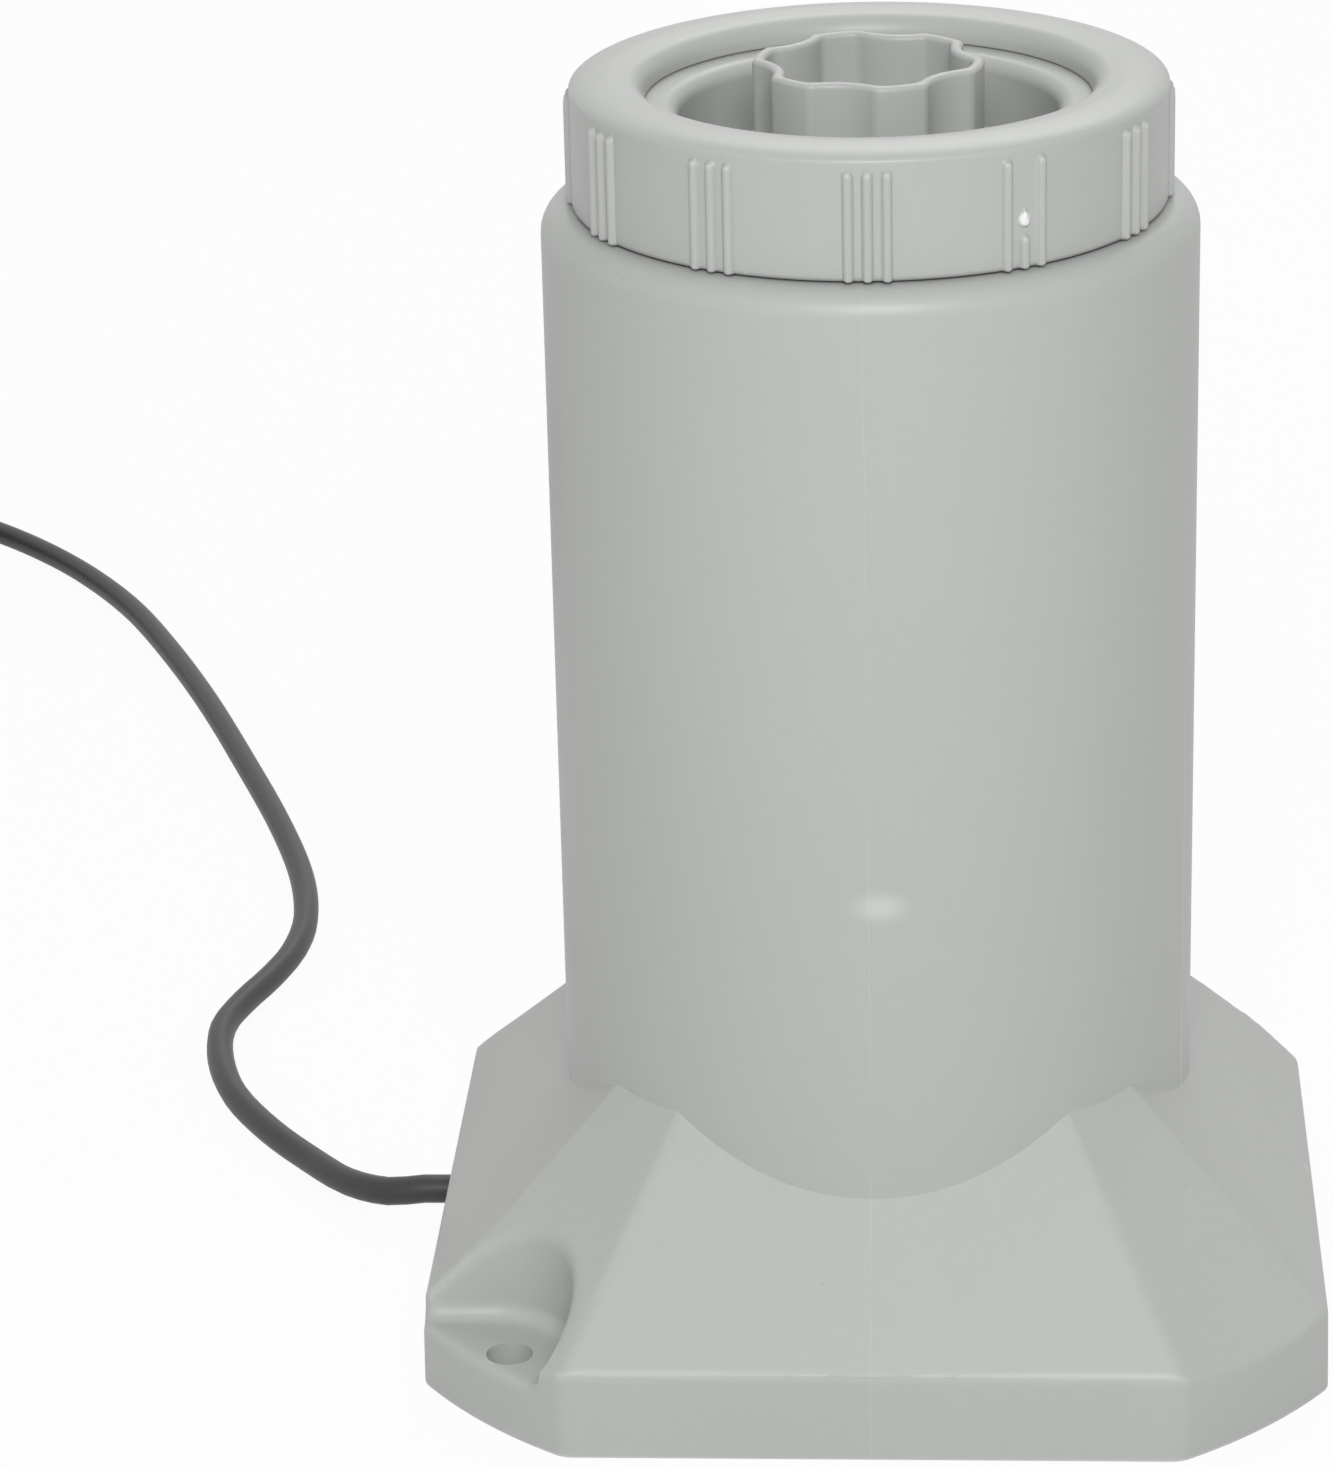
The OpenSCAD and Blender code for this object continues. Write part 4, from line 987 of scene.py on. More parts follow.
class PUMP_OT_stage(PieceOperator, bpy.types.Operator):
    """Sets up the camera, the soft lamps and the pale floor"""

    bl_idname = "pump.stage"
    bl_label = "Stage"

    def execute(self, context):
        s = context.scene.pump_stage
        camera = bpy.data.objects.new("camera", bpy.data.cameras.new("camera"))
        camera.data.lens = s.lens
        camera.data.sensor_width = SENSOR
        camera.data.clip_start, camera.data.clip_end = SEEN_FROM, SEEN_TO
        camera.matrix_world = (
            Matrix.Translation(s.place)
            @ Matrix.Rotation(s.yaw, 4, "Z")
            @ Matrix.Rotation(math.radians(90) - s.pitch, 4, "X")
            @ Matrix.Rotation(s.roll, 4, "Z")
        )
        context.scene.collection.objects.link(camera)
        context.scene.camera = camera
        for name, spot, width, power in (
            ("key", s.key_place, s.key_width, s.key_power),
            ("rear", s.rear_place, s.rear_width, s.rear_power),
        ):
            lamp = bpy.data.objects.new(name, bpy.data.lights.new(name, "AREA"))
            lamp.data.shape = "DISK"
            lamp.data.size = width
            lamp.data.energy = power
            lamp.location = spot
            aim = Vector(LAMPS_AIM) - Vector(spot)
            lamp.rotation_euler = aim.to_track_quat("-Z", "Y").to_euler()
            context.scene.collection.objects.link(lamp)
        self.floor(context, s)
        self.sky(context, s)
        context.scene.view_settings.view_transform = "Standard"
        return {"FINISHED"}

    def floor(self, context, s):
        """The pale floor, whose shade stays while the camera sees it nearly white."""
        half = s.floor_half
        mesh = bpy.data.meshes.new("floor")
        corners = [(-half, -half, 0), (half, -half, 0), (half, half, 0), (-half, half, 0)]
        mesh.from_pydata(corners, [], [(0, 1, 2, 3)])
        floor = bpy.data.objects.new("floor", mesh)
        context.scene.collection.objects.link(floor)
        material = bpy.data.materials.new("Floor")
        material.use_nodes = True
        build = Nodes(material.node_tree)
        white = s.floor_white
        lit = build.add("ShaderNodeBsdfDiffuse", {"Color": (white, white, white, 1)}).outputs[0]
        glow = build.add("ShaderNodeEmission", {"Color": (1, 1, 1, 1), "Strength": 1.0}).outputs[0]
        amount = build.times(build.unlit(), s.floor_glow)
        both = build.add("ShaderNodeMixShader", {0: amount, 1: lit, 2: glow}).outputs[0]
        build.add("ShaderNodeOutputMaterial", {"Surface": both})
        mesh.materials.append(material)

    def sky(self, context, s):
        """Even light from all round, seen as plain white."""
        world = bpy.data.worlds.new("Studio")
        world.use_nodes = True
        build = Nodes(world.node_tree)
        values = {"Value": build.unlit(), "To Min": s.sky, "To Max": 1.0}
        strength = build.add("ShaderNodeMapRange", values).outputs[0]
        sky = build.add("ShaderNodeBackground", {"Color": (1, 1, 1, 1), "Strength": strength}).outputs[0]
        build.add("ShaderNodeOutputWorld", {"Surface": sky})
        context.scene.world = world


# The lead's route over the floor in millimetres, repeated from the part's source
LEAD_ROUTE = (
    (-90, 11, 5.2), (-98, 17.5, 3.8), (-106, 28, 2.9), (-115.5, 41, 2.7), (-124, 56, 2.7),
    (-129, 72, 2.7), (-130.5, 87, 2.7), (-128, 99, 2.7), (-124, 111, 2.7), (-121, 124, 2.7),
    (-120.5, 140, 2.7), (-124, 162, 2.7), (-132, 190, 2.7), (-144, 225, 2.7), (-157, 261, 2.7),
    (-170, 293, 2.7), (-183, 321, 2.7), (-197, 344, 2.7), (-211, 362, 2.7), (-226, 377, 2.8),
    (-241, 387.5, 3.2),
)
TAIL_ROUTE = ((-322, 360, 18.4), (-322, 344, 14.4), (-321, 328, 10.4), (-320, 314, 7.8), (-320, 304, 7.2))
# Keeps the first point of a layer of the coil in its layer
A_LITTLE = 1e-9
LEAD_EXIT = np.array((-77.9, 9.5, 6.5)) * MM
PLUG_START = np.array((-320, 294, 7.2)) * MM

# The connector in millimetres: radius, and distance from where the lead enters
BOOT_RIBS = [1.2 + 3.1 * i for i in range(6)]
BOOT_RIB = ((-0.7, 0), (0, 0.4), (0.25, 1.9), (-0.5, 2.3))
BOOT_START, BOOT_RADIUS, BOOT_FLARE = 3, 3.3, 3.7 / 20
PLUG_SHOULDER = ((6.9, 20.2), (7, 21))
GRIP_GROOVES = [25 + 2.4 * i for i in range(7)]
GRIP_GROOVE = ((7, 0), (6.6, 0.5), (6.6, 1.1), (7, 1.6))
PLUG_NOSE = ((7, 47.2), (6.2, 48), (5.4, 48), (5.4, 57.5), (5, 58), (4.5, 58), (4.3, 53), (0, 53))
PIN = ((0, 52), (1, 52), (1, 65), (0.85, 65.6), (0.5, 65.93), (0, 66))
PIN_SIDE = 2.5 * MM
# Share of the band's thickness that its edges are softened by
TIE_SOFT = 0.3
GROMMET_WALL, GROMMET_LENGTH, GROMMET_SOFT, GROMMET_FACE_SOFT = 1 * MM, 9 * MM, 0.3 * MM, 0.35 * MM


class PUMP_OT_lead(PieceOperator, bpy.types.Operator):
    """Lays the black lead over the floor, with its coil, band and connector"""

    bl_idname = "pump.lead"
    bl_label = "Lead"

    def execute(self, context):
        s = context.scene.pump_lead
        path = self.path(s)
        curve = bpy.data.curves.new("lead", "CURVE")
        curve.dimensions = "3D"
        curve.bevel_depth = s.thick / 2
        curve.bevel_resolution = 4
        curve.use_fill_caps = True
        spline = curve.splines.new("POLY")
        spline.points.add(len(path) - 1)
        spline.points.foreach_set("co", [v for p in path for v in (*p, 1)])
        spline.use_smooth = True
        curve.materials.append(FINISHES.get("lead"))
        lead = bpy.data.objects.new("lead", curve)
        context.scene.collection.objects.link(lead)
        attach(lead, "root")
        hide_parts("cord", "cord_coil")
        tie = self.tie(s)
        plug = self.plug()
        pins = self.pins()
        self.grommet(s)
        return {"FINISHED"}

    def path(self, s):
        """The whole route from the foot to the connector."""
        cycle = s.lay_turns + s.climb_turns
        total = s.layers * s.lay_turns + (s.layers - 1) * s.climb_turns
        inner = s.coil_radius - s.coil_pitch * s.lay_turns

        def along(t):
            lay = math.floor(t / cycle + A_LITTLE)
            run = t - lay * cycle
            moved = s.coil_pitch * min(run, s.lay_turns)
            radius = s.coil_radius - moved if lay % 2 == 0 else inner + moved
            climb = max(0, run - s.lay_turns) / s.climb_turns
            a = s.coil_start + 2 * math.pi * t
            return np.array((s.coil_x + radius * math.cos(a), s.coil_y + radius * math.sin(a),
                             s.coil_low + s.coil_rise * (lay + climb)))

        def heading(t):
            a = s.coil_start + 2 * math.pi * t
            return np.array((-math.sin(a), math.cos(a), 0))

        first = along(0) - s.thick * heading(0)
        last = along(total) + s.thick * heading(total)
        route = [np.array(p) * MM for p in LEAD_ROUTE]
        tail = [np.array(p) * MM for p in TAIL_ROUTE]
        out = LEAD_EXIT - np.array((s.thick, 0, 0))
        lead = smooth_path([LEAD_EXIT, out, *route, first - s.thick * heading(0), first], s.step)
        steps = round(total * s.turn_points)
        coil = [along(total * i / steps) for i in range(steps + 1)]
        end = smooth_path([last, last + s.thick * heading(total), *tail, PLUG_START], s.step)
        return [*lead, *coil, *end]

    def tie(self, s):
        """The soft band that holds the coil."""
        inner = s.coil_radius - s.coil_pitch * s.lay_turns - s.thick / 2 - s.gap
        outer = s.coil_radius + s.thick / 2 + s.gap
        top = s.coil_low + (s.layers - 1) * s.coil_rise + s.thick / 2 + s.gap
        thin = s.tie_thick
        outside = rounded([
            (inner - thin, 0, s.tie_round), (outer + thin, 0, s.tie_round),
            (outer + thin, top + thin, s.tie_round), (inner - thin, top + thin, s.tie_round),
        ], MORE_STEPS)
        low = s.tie_round - thin
        inside = rounded([
            (inner, thin, low), (outer, thin, low), (outer, top, low), (inner, top, low),
        ], MORE_STEPS)
        half = s.tie_width / 2
        soft = thin * TIE_SOFT
        way = (inside - outside) / np.linalg.norm(inside - outside, axis=1, keepdims=True)
        outer_soft, inner_soft = outside + way * soft, inside - way * soft
        rows = [
            (outer_soft, -half), (outside, soft - half), (outside, half - soft), (outer_soft, half),
            (inner_soft, half), (inside, half - soft), (inside, soft - half), (inner_soft, -half),
        ]
        rows = [np.stack([points[:, 0], np.full(len(points), y), points[:, 1]], -1) for points, y in rows]
        mesh = outward(grid_mesh("coil_band", np.array(rows)))
        turned = Matrix.Translation((s.coil_x, s.coil_y, 0)) @ Matrix.Rotation(s.tie_turn, 4, "Z")
        mesh.transform(turned)
        return piece("coil_band", mesh, "root", FINISHES.get("band"), ["coil_tie"])

    def plug(self):
        """The moulded connector with a ribbed boot."""
        outline = [(0, 0), (BOOT_START, 0)]
        for y in BOOT_RIBS:
            outline += [(BOOT_RADIUS + BOOT_FLARE * y + out, y + on) for out, on in BOOT_RIB]
        outline += PLUG_SHOULDER
        for y in GRIP_GROOVES:
            outline += [(r, y + on) for r, on in GRIP_GROOVE]
        mesh = outward(lathe("connector_body", in_metres([*outline, *PLUG_NOSE]), RING_SIDES))
        place(mesh, PLUG_START, "-Y")
        finish = FINISHES.get("black")
        return piece("connector_body", mesh, "root", finish, ["connector"])

    def pins(self):
        """Two round pins with domed ends."""
        parts = []
        for side in (-1, 1):
            pin = outward(lathe("pin", in_metres(PIN), SMALL_SIDES))
            parts.append(place(pin, PLUG_START + np.array((side * PIN_SIDE, 0, 0)), "-Y"))
        mesh = together("connector_contacts", parts)
        finish = FINISHES.get("brass")
        return piece("connector_contacts", mesh, "root", finish, ["connector_pins"])

    def grommet(self, s):
        """The soft ring round the lead in the foot's side."""
        bore, outer = s.thick / 2, s.thick / 2 + GROMMET_WALL
        outline = rounded([
            (bore, 0, GROMMET_SOFT), (outer, 0, GROMMET_FACE_SOFT),
            (outer, GROMMET_LENGTH), (bore, GROMMET_LENGTH),
        ])
        mesh = place(outward(lathe("lead_grommet", outline, RING_SIDES)), LEAD_EXIT, "X")
        return piece("lead_grommet", mesh, "root", FINISHES.get("rubber"), ["cable_grommet"])


# Roundings inside the canister, at the spigots and at their mouths, and the bevel under the roof
INNER_SOFT, SPIGOT_SOFT, MOUTH_SOFT, ROOF_BEVEL = 0.4 * MM, 0.8 * MM, 0.5 * MM, 3 * MM
# How far a cutting tool reaches past what it cuts, and depths of the two kinds of screw holes
PAST, WELL_PAST, BASE_HOLE, PUMP_HOLE = 1 * MM, 5 * MM, 10 * MM, 13.8 * MM
DIAGONAL = QUARTER / 2
# Share of the canister's wall that the foot's inner skin reaches into
INNER_SKIN = 0.8


class PUMP_OT_shell(PieceOperator, bpy.types.Operator):
    """Builds the moulded shell: foot, canister, neck, screw bosses and hose spigots"""

    bl_idname = "pump.shell"
    bl_label = "Shell"

    def execute(self, context):
        s = context.scene.pump_shell
        added = [("UNION", part) for part in (self.foot(s), *self.added(s))]
        taken = [("DIFFERENCE", tool) for tool in self.taken(s)]
        mesh = combine(self.canister(s), *added, *taken)
        piece("shell", mesh, "root", FINISHES.get("shell"), ["housing"])
        return {"FINISHED"}

    def canister(self, s):
        """Canister with its floor, pump chamber, shoulder and neck."""
        inner = s.radius - s.wall
        low = s.canister_floor - s.floor_thick
        soft = INNER_SOFT
        outline = rounded([
            (s.radius, s.canister_low), (s.radius, s.shoulder, s.shoulder_round),
            (s.neck_radius, s.shoulder, soft), (s.neck_radius, s.neck_top, soft),
            (s.neck_bore, s.neck_top, soft), (s.neck_bore, s.roof),
            (inner - ROOF_BEVEL, s.roof), (inner, s.roof - ROOF_BEVEL), (inner, s.canister_floor, 2 * soft),
            (s.seat, s.canister_floor), (s.seat, s.seat_top, soft), (s.seat - s.seat_wall, s.seat_top, soft),
            (s.seat - s.seat_wall, s.canister_floor), (s.eye, s.canister_floor, soft), (s.eye, low, soft),
            (s.chamber, low), (s.chamber, s.chamber_low), (s.land, s.chamber_low),
            (s.land, s.chamber_low + s.wall), (s.chamber + s.wall, s.chamber_low + s.wall),
            (s.chamber + s.wall, low), (inner, low), (inner, s.canister_low),
        ], MORE_STEPS)
        return lathe("canister", outline, s.segments)

    def foot(self, s):
        """The flared foot as one closed skin."""
        outer = foot_skin(s, 0, s.radius - s.wall / 2, s.rows)
        inner = foot_skin(s, s.wall, s.radius - s.wall * INNER_SKIN, s.rows // 2)
        return grid_mesh("foot", np.concatenate([outer, inner[::-1]]))

    def added(self, s):
        """What stands on the canister and foot."""
        parts = [thread(s, s.neck_radius - s.thread_bite, 0)]
        soft = SPIGOT_SOFT
        start = s.radius - s.wall - s.spigot_root / 4
        low, high = s.canister_floor - s.floor_thick, s.canister_floor
        for height in (s.inlet_height, s.outlet_height):
            outline = rounded([
                (0, start), (s.spigot_root, start), (s.spigot_root, s.spigot_root_end, soft),
                (s.spigot_radius, s.spigot_root_end, soft), (s.spigot_radius, s.spigot_plain),
                (s.spigot_tip, s.spigot_end, soft / 2), (0, s.spigot_end),
            ])
            parts.append(place(lathe("spigot", outline, SPIGOT_SIDES), (0, 0, height), "Y"))
        duct = rod(s.duct_radius, s.chamber + s.wall / 2, s.radius)
        parts.append(place(duct, (0, 0, s.outlet_height), "Y"))
        for quarter in range(4):
            boss = rod(s.boss_radius, s.plate_top, s.boss_top)
            parts.append(place(boss, round_about(s.boss_place, quarter)))
            boss = rod(s.boss_radius, s.chamber_low, high - s.floor_thick / 2)
            parts.append(place(boss, round_about(s.pump_screw_place, quarter, DIAGONAL)))
        within = s.corner_radius - s.wall / 2
        for side in (-1, 1):
            post = rod(s.post_radius, 0, s.pocket_floor - s.wall / 2)
            post = place(post, (side * s.hole, side * s.hole, 0))
            parts.append(combine(post, ("INTERSECT", rod(within, -PAST, s.pocket_floor, CORNER_SIDES))))
        hub = [(s.hub, low), (s.hub, high), (s.hub_bore, high), (s.hub_bore, low)]
        parts.append(lathe("hub", hub, ROD_SIDES))
        for arm in range(s.arms):
            bar = block(
                (s.hub_bore + (s.hub - s.hub_bore) / 2, -s.arm_width / 2, low + soft / 4),
                (s.eye + s.wall / 2, s.arm_width / 2, high - soft / 4),
            )
            bar.transform(Matrix.Rotation(2 * math.pi * arm / s.arms, 4, "Z"))
            parts.append(bar)
        return parts

    def taken(self, s):
        """Bores and screw holes."""
        out, far, soft = s.spigot_end, s.spigot_end + WELL_PAST, MOUTH_SOFT
        bore = [
            (0, 0), (s.spigot_bore, 0), (s.spigot_bore, out - soft), (s.spigot_bore + soft, out),
            (s.spigot_bore + soft, far), (0, far),
        ]
        short = [(r, max(z, s.radius)) for r, z in bore]
        duct = rod(s.duct_bore, s.chamber - s.wall, s.radius + PAST)
        lead = rod(s.lead_hole, -s.base_half - PAST, -s.base_half + s.lead_hole_depth)
        tools = [
            place(lathe("bore", bore, SPIGOT_SIDES), (0, 0, s.inlet_height), "Y"),
            place(lathe("bore", short, SPIGOT_SIDES), (0, 0, s.outlet_height), "Y"),
            place(duct, (0, 0, s.outlet_height), "Y"),
            place(lead, (0, s.lead_y, s.lead_z), "X"),
        ]
        for side in (-1, 1):
            hole = rod(s.hole_radius, -PAST, s.canister_floor / 2)
            tools.append(place(hole, (side * s.hole, side * s.hole, 0)))
        for quarter in range(4):
            hole = rod(s.pilot, 0, s.plate_top + BASE_HOLE, HOLE_SIDES)
            tools.append(place(hole, round_about(s.boss_place, quarter)))
            hole = rod(s.pilot, s.chamber_low - PAST, s.chamber_low + PUMP_HOLE, HOLE_SIDES)
            tools.append(place(hole, round_about(s.pump_screw_place, quarter, DIAGONAL)))
        return tools


class PUMP_OT_collar(PieceOperator, bpy.types.Operator):
    """Builds the collar with its groups of half-round ribs and the drop mark"""

    bl_idname = "pump.collar"
    bl_label = "Collar"

    def execute(self, context):
        s = context.scene.pump_collar
        mesh = combine(self.wall(s), ("UNION", thread(s, s.bore + s.thread_bite, s.thread_start)))
        piece("collar_ring", mesh, "collar_body", FINISHES.get("collar"), ["collar"], 40)
        return {"FINISHED"}

    def wall(self, s):
        """The ring's outline turned round the axis, with the ribs raised from it."""
        lower = bow((s.radius - s.edge, s.low + s.edge), (s.edge, s.edge), -90, 0, 6)
        shoulder = s.high - s.shoulder_high
        side = [(s.radius, z) for z in np.arange(s.low + s.edge + s.row_step, shoulder, s.row_step)]
        crown = bow((s.radius - s.shoulder_wide, shoulder), (s.shoulder_wide, s.shoulder_high), 0, 90, 16)
        lip = s.high - s.lip_fall
        inside = bow((s.lip_bore + s.lip_round, lip - s.lip_round), (s.lip_round, s.lip_round), 90, 180, 12)
        rest = rounded([
            (s.lip_bore, lip), (s.lip_bore, s.lip_under, s.edge / 2), (s.bore, s.lip_under),
            (s.bore, s.bead_top), (s.bead, s.bead_top, s.edge / 3), (s.bead, s.bead_low, s.edge / 3),
            (s.bore, s.bead_foot), (s.bore, s.low, s.edge / 2),
        ], FEW_STEPS)[1:]
        outer = np.array([*lower, *side, *crown])
        inner = np.array([*inside, *rest])
        turns = np.linspace(0, 2 * math.pi, s.columns, endpoint=False)
        reach = outer[:, :1] + self.raised(s, outer, turns)
        rows = np.concatenate([reach, np.repeat(inner[:, :1], s.columns, 1)])
        heights = np.concatenate([outer[:, 1], inner[:, 1]])
        points = np.empty((len(rows), s.columns, 3))
        points[..., 0] = rows * np.sin(turns)
        points[..., 1] = -rows * np.cos(turns)
        points[..., 2] = heights[:, None]
        return grid_mesh("collar_ring", points)

    def raised(self, s, outer, turns):
        """How far the ribs and the mark stand out from each point of the wall."""
        radius, z = outer[:, :1], outer[:, 1:]
        raised = np.zeros((len(outer), len(turns)))
        for group in range(s.groups):
            for place_in_group in (-1, 0, 1):
                a = s.first_turn + 2 * math.pi * group / s.groups + place_in_group * s.rib_step / s.radius
                offset = (np.mod(turns - a + math.pi, 2 * math.pi) - math.pi) * s.radius
                marked = group == s.marked and place_in_group == 0
                top = (s.stub_top if marked else s.rib_top) - s.rib_half
                over = np.maximum(z - top, 0)
                under = np.maximum(s.low + s.rib_end - z, 0) * s.rib_half / s.rib_end
                room = s.rib_half**2 - offset**2 - over**2 - under**2
                crest = s.radius + s.rib_proud - s.rib_half + np.sqrt(np.maximum(room, 0))
                rib = np.where(room > 0, np.maximum(crest - radius, 0), 0)
                raised = np.maximum(raised, rib)
                if marked:
                    lift = z - s.drop_low - s.drop_half
                    tall = s.drop_high - s.drop_low - s.drop_half
                    narrow = np.where(lift > 0, 1 - lift / tall, 1)
                    inside = s.drop_half * narrow - np.hypot(offset, np.minimum(lift, 0))
                    mark = s.drop_proud * np.clip(inside / s.drop_soft, 0, 1) ** 0.5
                    raised = np.maximum(raised, mark)
        return raised


# A lobed outline stays outside this share of its radius
LOBE_INNERMOST = 0.6
# Rows of points in the grip's flare, wall and rim
FLARE_ROWS, WALL_ROWS, RIM_ROWS = 6, 12, 8


class PUMP_OT_lid(PieceOperator, bpy.types.Operator):
    """Builds the dished lid with its lobed grip and the stem under it"""

    bl_idname = "pump.lid"
    bl_label = "Lid"

    def execute(self, context):
        s = context.scene.pump_lid
        mesh = combine(self.dished(s), ("UNION", self.grip_wall(s)))
        piece("lid_top", mesh, "lid_body", FINISHES.get("lid"), ["lid"], 40)
        return {"FINISHED"}

    def dished(self, s):
        """Flange, rolled edge, dish, plug and stem."""
        soft, roll = s.soft, s.roll
        groove_low, groove_high = s.groove_height - s.groove_half, s.groove_height + s.groove_half
        dish, floor = s.dish + s.wall, s.dish_floor - s.wall
        pedestal, roof = s.pedestal - s.wall, s.pedestal_top - s.wall
        top = rounded([
            (0, s.pedestal_top), (s.pedestal, s.pedestal_top, soft), (s.pedestal, s.dish_floor, soft),
            (s.dish, s.dish_floor, soft * 1.5), (s.dish, s.flange_top - roll),
        ], MORE_STEPS)
        rolled = bow((s.dish + roll, s.flange_top - roll), (roll, roll), 180, 90, 12)
        rest = rounded([
            (s.dish + roll, s.flange_top), (s.flange_radius, s.flange_top, soft / 2),
            (s.flange_radius, s.flange_low, soft / 3), (s.plug, s.flange_low),
            (s.plug, groove_high, soft / 5), (s.groove, groove_high), (s.groove, groove_low),
            (s.plug, groove_low, soft / 5), (s.plug, s.skirt, soft / 3), (s.skirt_bore, s.skirt),
            (s.skirt_bore, s.flange_low), (dish, s.flange_low), (dish, floor, soft * 2),
            (pedestal, floor, soft), (pedestal, roof), (s.stem, roof), (s.stem, s.stem_low, soft / 3),
            (s.stem_bore, s.stem_low, soft / 3), (s.stem_bore, roof), (0, roof),
        ], FEW_STEPS)[1:]
        outline = np.concatenate([top[:-1], rolled, rest])
        return lathe("lid_top", outline, s.segments)

    def outline(self, s, turns, radius, flute, outset):
        """Where a lobed outline lies in each direction, moved out by outset."""
        def distance(r):
            x, y = r * np.cos(turns), r * np.sin(turns)
            edge = r - radius
            for lobe in range(s.lobes):
                a = s.lobe_turn + 2 * math.pi * lobe / s.lobes
                away = np.hypot(x - s.flute_place * math.cos(a), y - s.flute_place * math.sin(a))
                edge = round_max(edge, flute - away, s.flute_soft)
            return edge - outset

        low = np.full_like(turns, radius * LOBE_INNERMOST)
        return solve(distance, low, low / LOBE_INNERMOST + s.flute_soft * 2)

    def grip_wall(self, s):
        """The upright lobed wall with its rounded rim."""
        turns = np.linspace(0, 2 * math.pi, s.grip_columns, endpoint=False)
        base, top, rim = s.pedestal_top, s.grip_top, s.rim
        profile = [(s.flare, base - s.soft)]
        for a in np.linspace(0, QUARTER, FLARE_ROWS):
            profile.append((s.flare * (1 - math.sin(a)), base + s.flare * (1 - math.cos(a))))
        profile += [(0.0, z) for z in np.linspace(base + s.flare, top - rim, WALL_ROWS)[1:-1]]
        for a in np.linspace(0, QUARTER, RIM_ROWS):
            profile.append((-rim * (1 - math.cos(a)), top - rim + rim * math.sin(a)))
        rows = []
        for side, radius, flute in ((1, s.grip, s.flute), (-1, s.grip - s.grip_wall, s.flute + s.grip_wall)):
            made = [(self.outline(s, turns, radius, flute, side * outset), z) for outset, z in profile]
            rows += made[::side]
        cos, sin, flat = np.cos(turns), np.sin(turns), np.ones_like(turns)
        return grid_mesh("grip", np.array([np.stack([r * cos, r * sin, z * flat], -1) for r, z in rows]))


# A screw in millimetres, radius and height: its head, and one turn of its thread
HEAD = ((0, 0), (1.9, 0), (2.7, 0.25), (3, 0.7), (3, 1.2), (1.45, 1.2), (1.3, 1.6))
THREAD = ((1.15, 0), (1.45, 0.3), (1.45, 0.4), (1.15, 0.7))
THREAD_START, THREAD_PITCH, THREAD_END = 1.9, 1.0, 1.6
SHANK, TIP, TIP_LENGTH = 1.15, 0.3, 1.2
CROSS_LONG, CROSS_WIDE, CROSS_DEEP = 1.7, 0.36, 0.75
SCREWS = 4


class PUMP_OT_screws(PieceOperator, bpy.types.Operator):
    """Builds the screws of the base plate and of the pump plate"""

    bl_idname = "pump.screws"
    bl_label = "Screws"

    def execute(self, context):
        s = context.scene.pump_shell
        for name, node, first, ring in (
            ("base_screws", "base_plate_screws", 0, s.boss_place),
            ("pump_screws", "pump_plate_screws", DIAGONAL, s.pump_screw_place),
        ):
            low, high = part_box(node)
            parts = []
            for quarter in range(SCREWS):
                x, y, _ = round_about(ring, quarter, first)
                parts.append(place(self.screw((high[2] - low[2]) / MM), (x, y, low[2])))
            mesh = together(name, parts)
            piece(name, mesh, "root", FINISHES.get("steel"), [node])
        return {"FINISHED"}

    def screw(self, length):
        """A pan head screw standing on its head, with a cross recess and a rolled thread."""
        outline = [*HEAD]
        z = THREAD_START
        while z < length - THREAD_END:
            outline += [(r, z + up) for r, up in THREAD]
            z += THREAD_PITCH
        outline += [(SHANK, length - TIP_LENGTH), (TIP, length), (0, length)]
        screw = lathe("screw", in_metres(outline), SMALL_SIDES)
        for x, y in ((CROSS_LONG, CROSS_WIDE), (CROSS_WIDE, CROSS_LONG)):
            slot = block((-x * MM, -y * MM, -1 * MM), (x * MM, y * MM, CROSS_DEEP * MM))
            screw = combine(screw, ("DIFFERENCE", slot))
        return screw


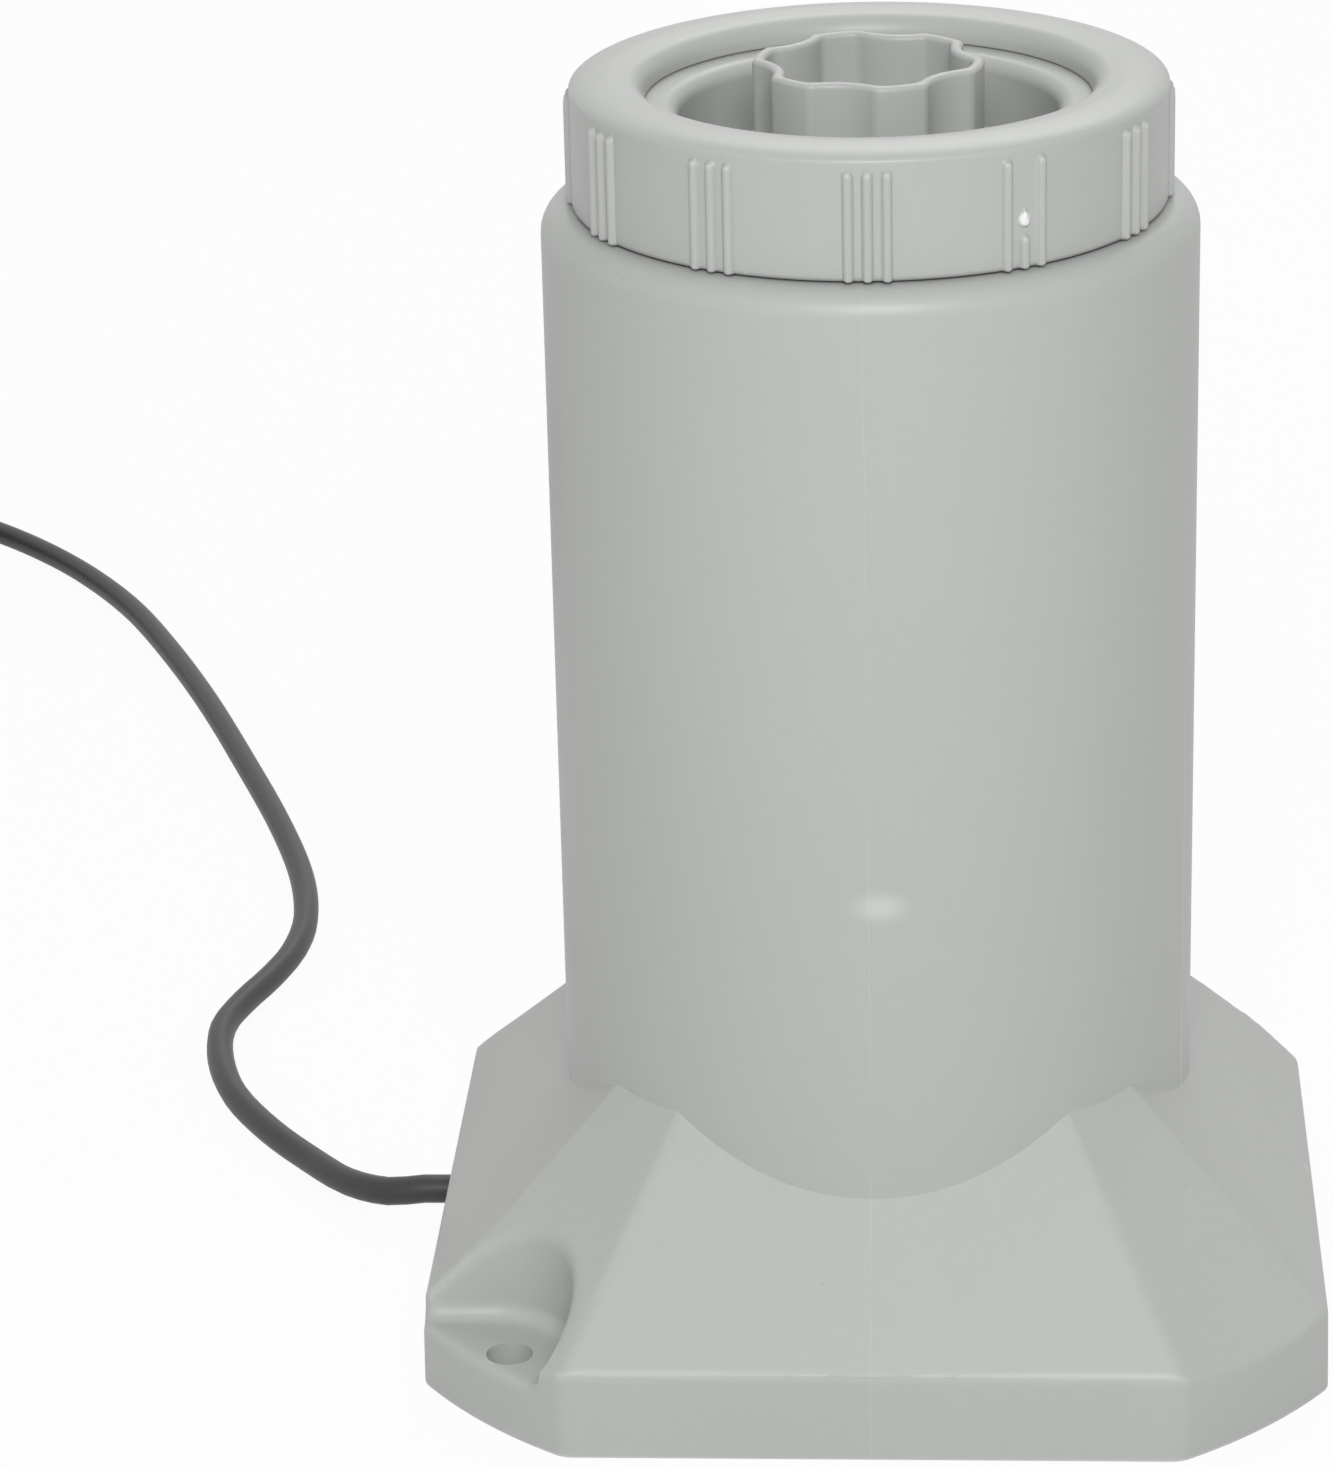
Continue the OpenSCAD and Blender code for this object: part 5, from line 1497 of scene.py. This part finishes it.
# The finish of each material slot of the record
SLOT_FINISHES = {
    "base_plastic": "base", "seal_rubber": "rubber", "filter_paper": "paper", "cap_rubber": "cap",
    "core_plastic": "white", "pump_plastic": "black", "impeller_plastic": "white",
    "magnet_ferrite": "ferrite", "sleeve_carbon": "carbon", "shaft_ceramic": "ceramic",
    "core_steel": "plates", "bobbin_plastic": "white", "coil_copper": "copper",
    "screw_steel": "steel", "wire_plastic": "wire", "cord_pvc": "lead", "tie_fabric": "band",
    "connector_plastic": "black", "pin_brass": "brass", "housing_plastic": "shell",
    "collar_plastic": "collar", "lid_plastic": "lid",
}


class PUMP_OT_inside(PieceOperator, bpy.types.Operator):
    """Gives the kept pieces, most of them inside, their finishes"""

    bl_idname = "pump.inside"
    bl_label = "Inner pieces"

    def execute(self, context):
        for row in frame["record"]["subparts"]:
            node = NODES[row["node"]]
            finish = FINISHES.get(SLOT_FINISHES[row["material_slot"]])
            if not node.material_slots:
                node.data.materials.append(finish)
            for slot in node.material_slots:
                slot.material = finish
        return {"FINISHED"}


class PUMP_PT_panel(bpy.types.Panel):
    """Lists the steps that build the pump"""

    bl_idname = "PUMP_PT_panel"
    bl_label = "Cartridge filter pump"
    bl_space_type = "VIEW_3D"
    bl_region_type = "UI"
    bl_category = "Pump"

    def draw(self, context):
        for step in STEPS:
            self.layout.operator(step.bl_idname)


STEPS = (
    PUMP_OT_stage, PUMP_OT_lead, PUMP_OT_shell, PUMP_OT_collar, PUMP_OT_lid, PUMP_OT_screws, PUMP_OT_inside,
)
CLASSES = (*GROUPS.values(), *STEPS, PUMP_PT_panel)


def register():
    for group in GROUPS.values():
        for name, prop in group.__annotations__.items():
            prop.keywords["name"] = name.replace("_", " ").capitalize()
    for kind in CLASSES:
        bpy.utils.register_class(kind)
    for name, kind in GROUPS.items():
        setattr(bpy.types.Scene, name, bpy.props.PointerProperty(type=kind))


def unregister():
    for name in GROUPS:
        delattr(bpy.types.Scene, name)
    for kind in reversed(CLASSES):
        bpy.utils.unregister_class(kind)


def main():
    register()
    for step in STEPS:
        group, name = step.bl_idname.split(".")
        getattr(getattr(bpy.ops, group), name)()


if __name__ == "__main__":
    main()
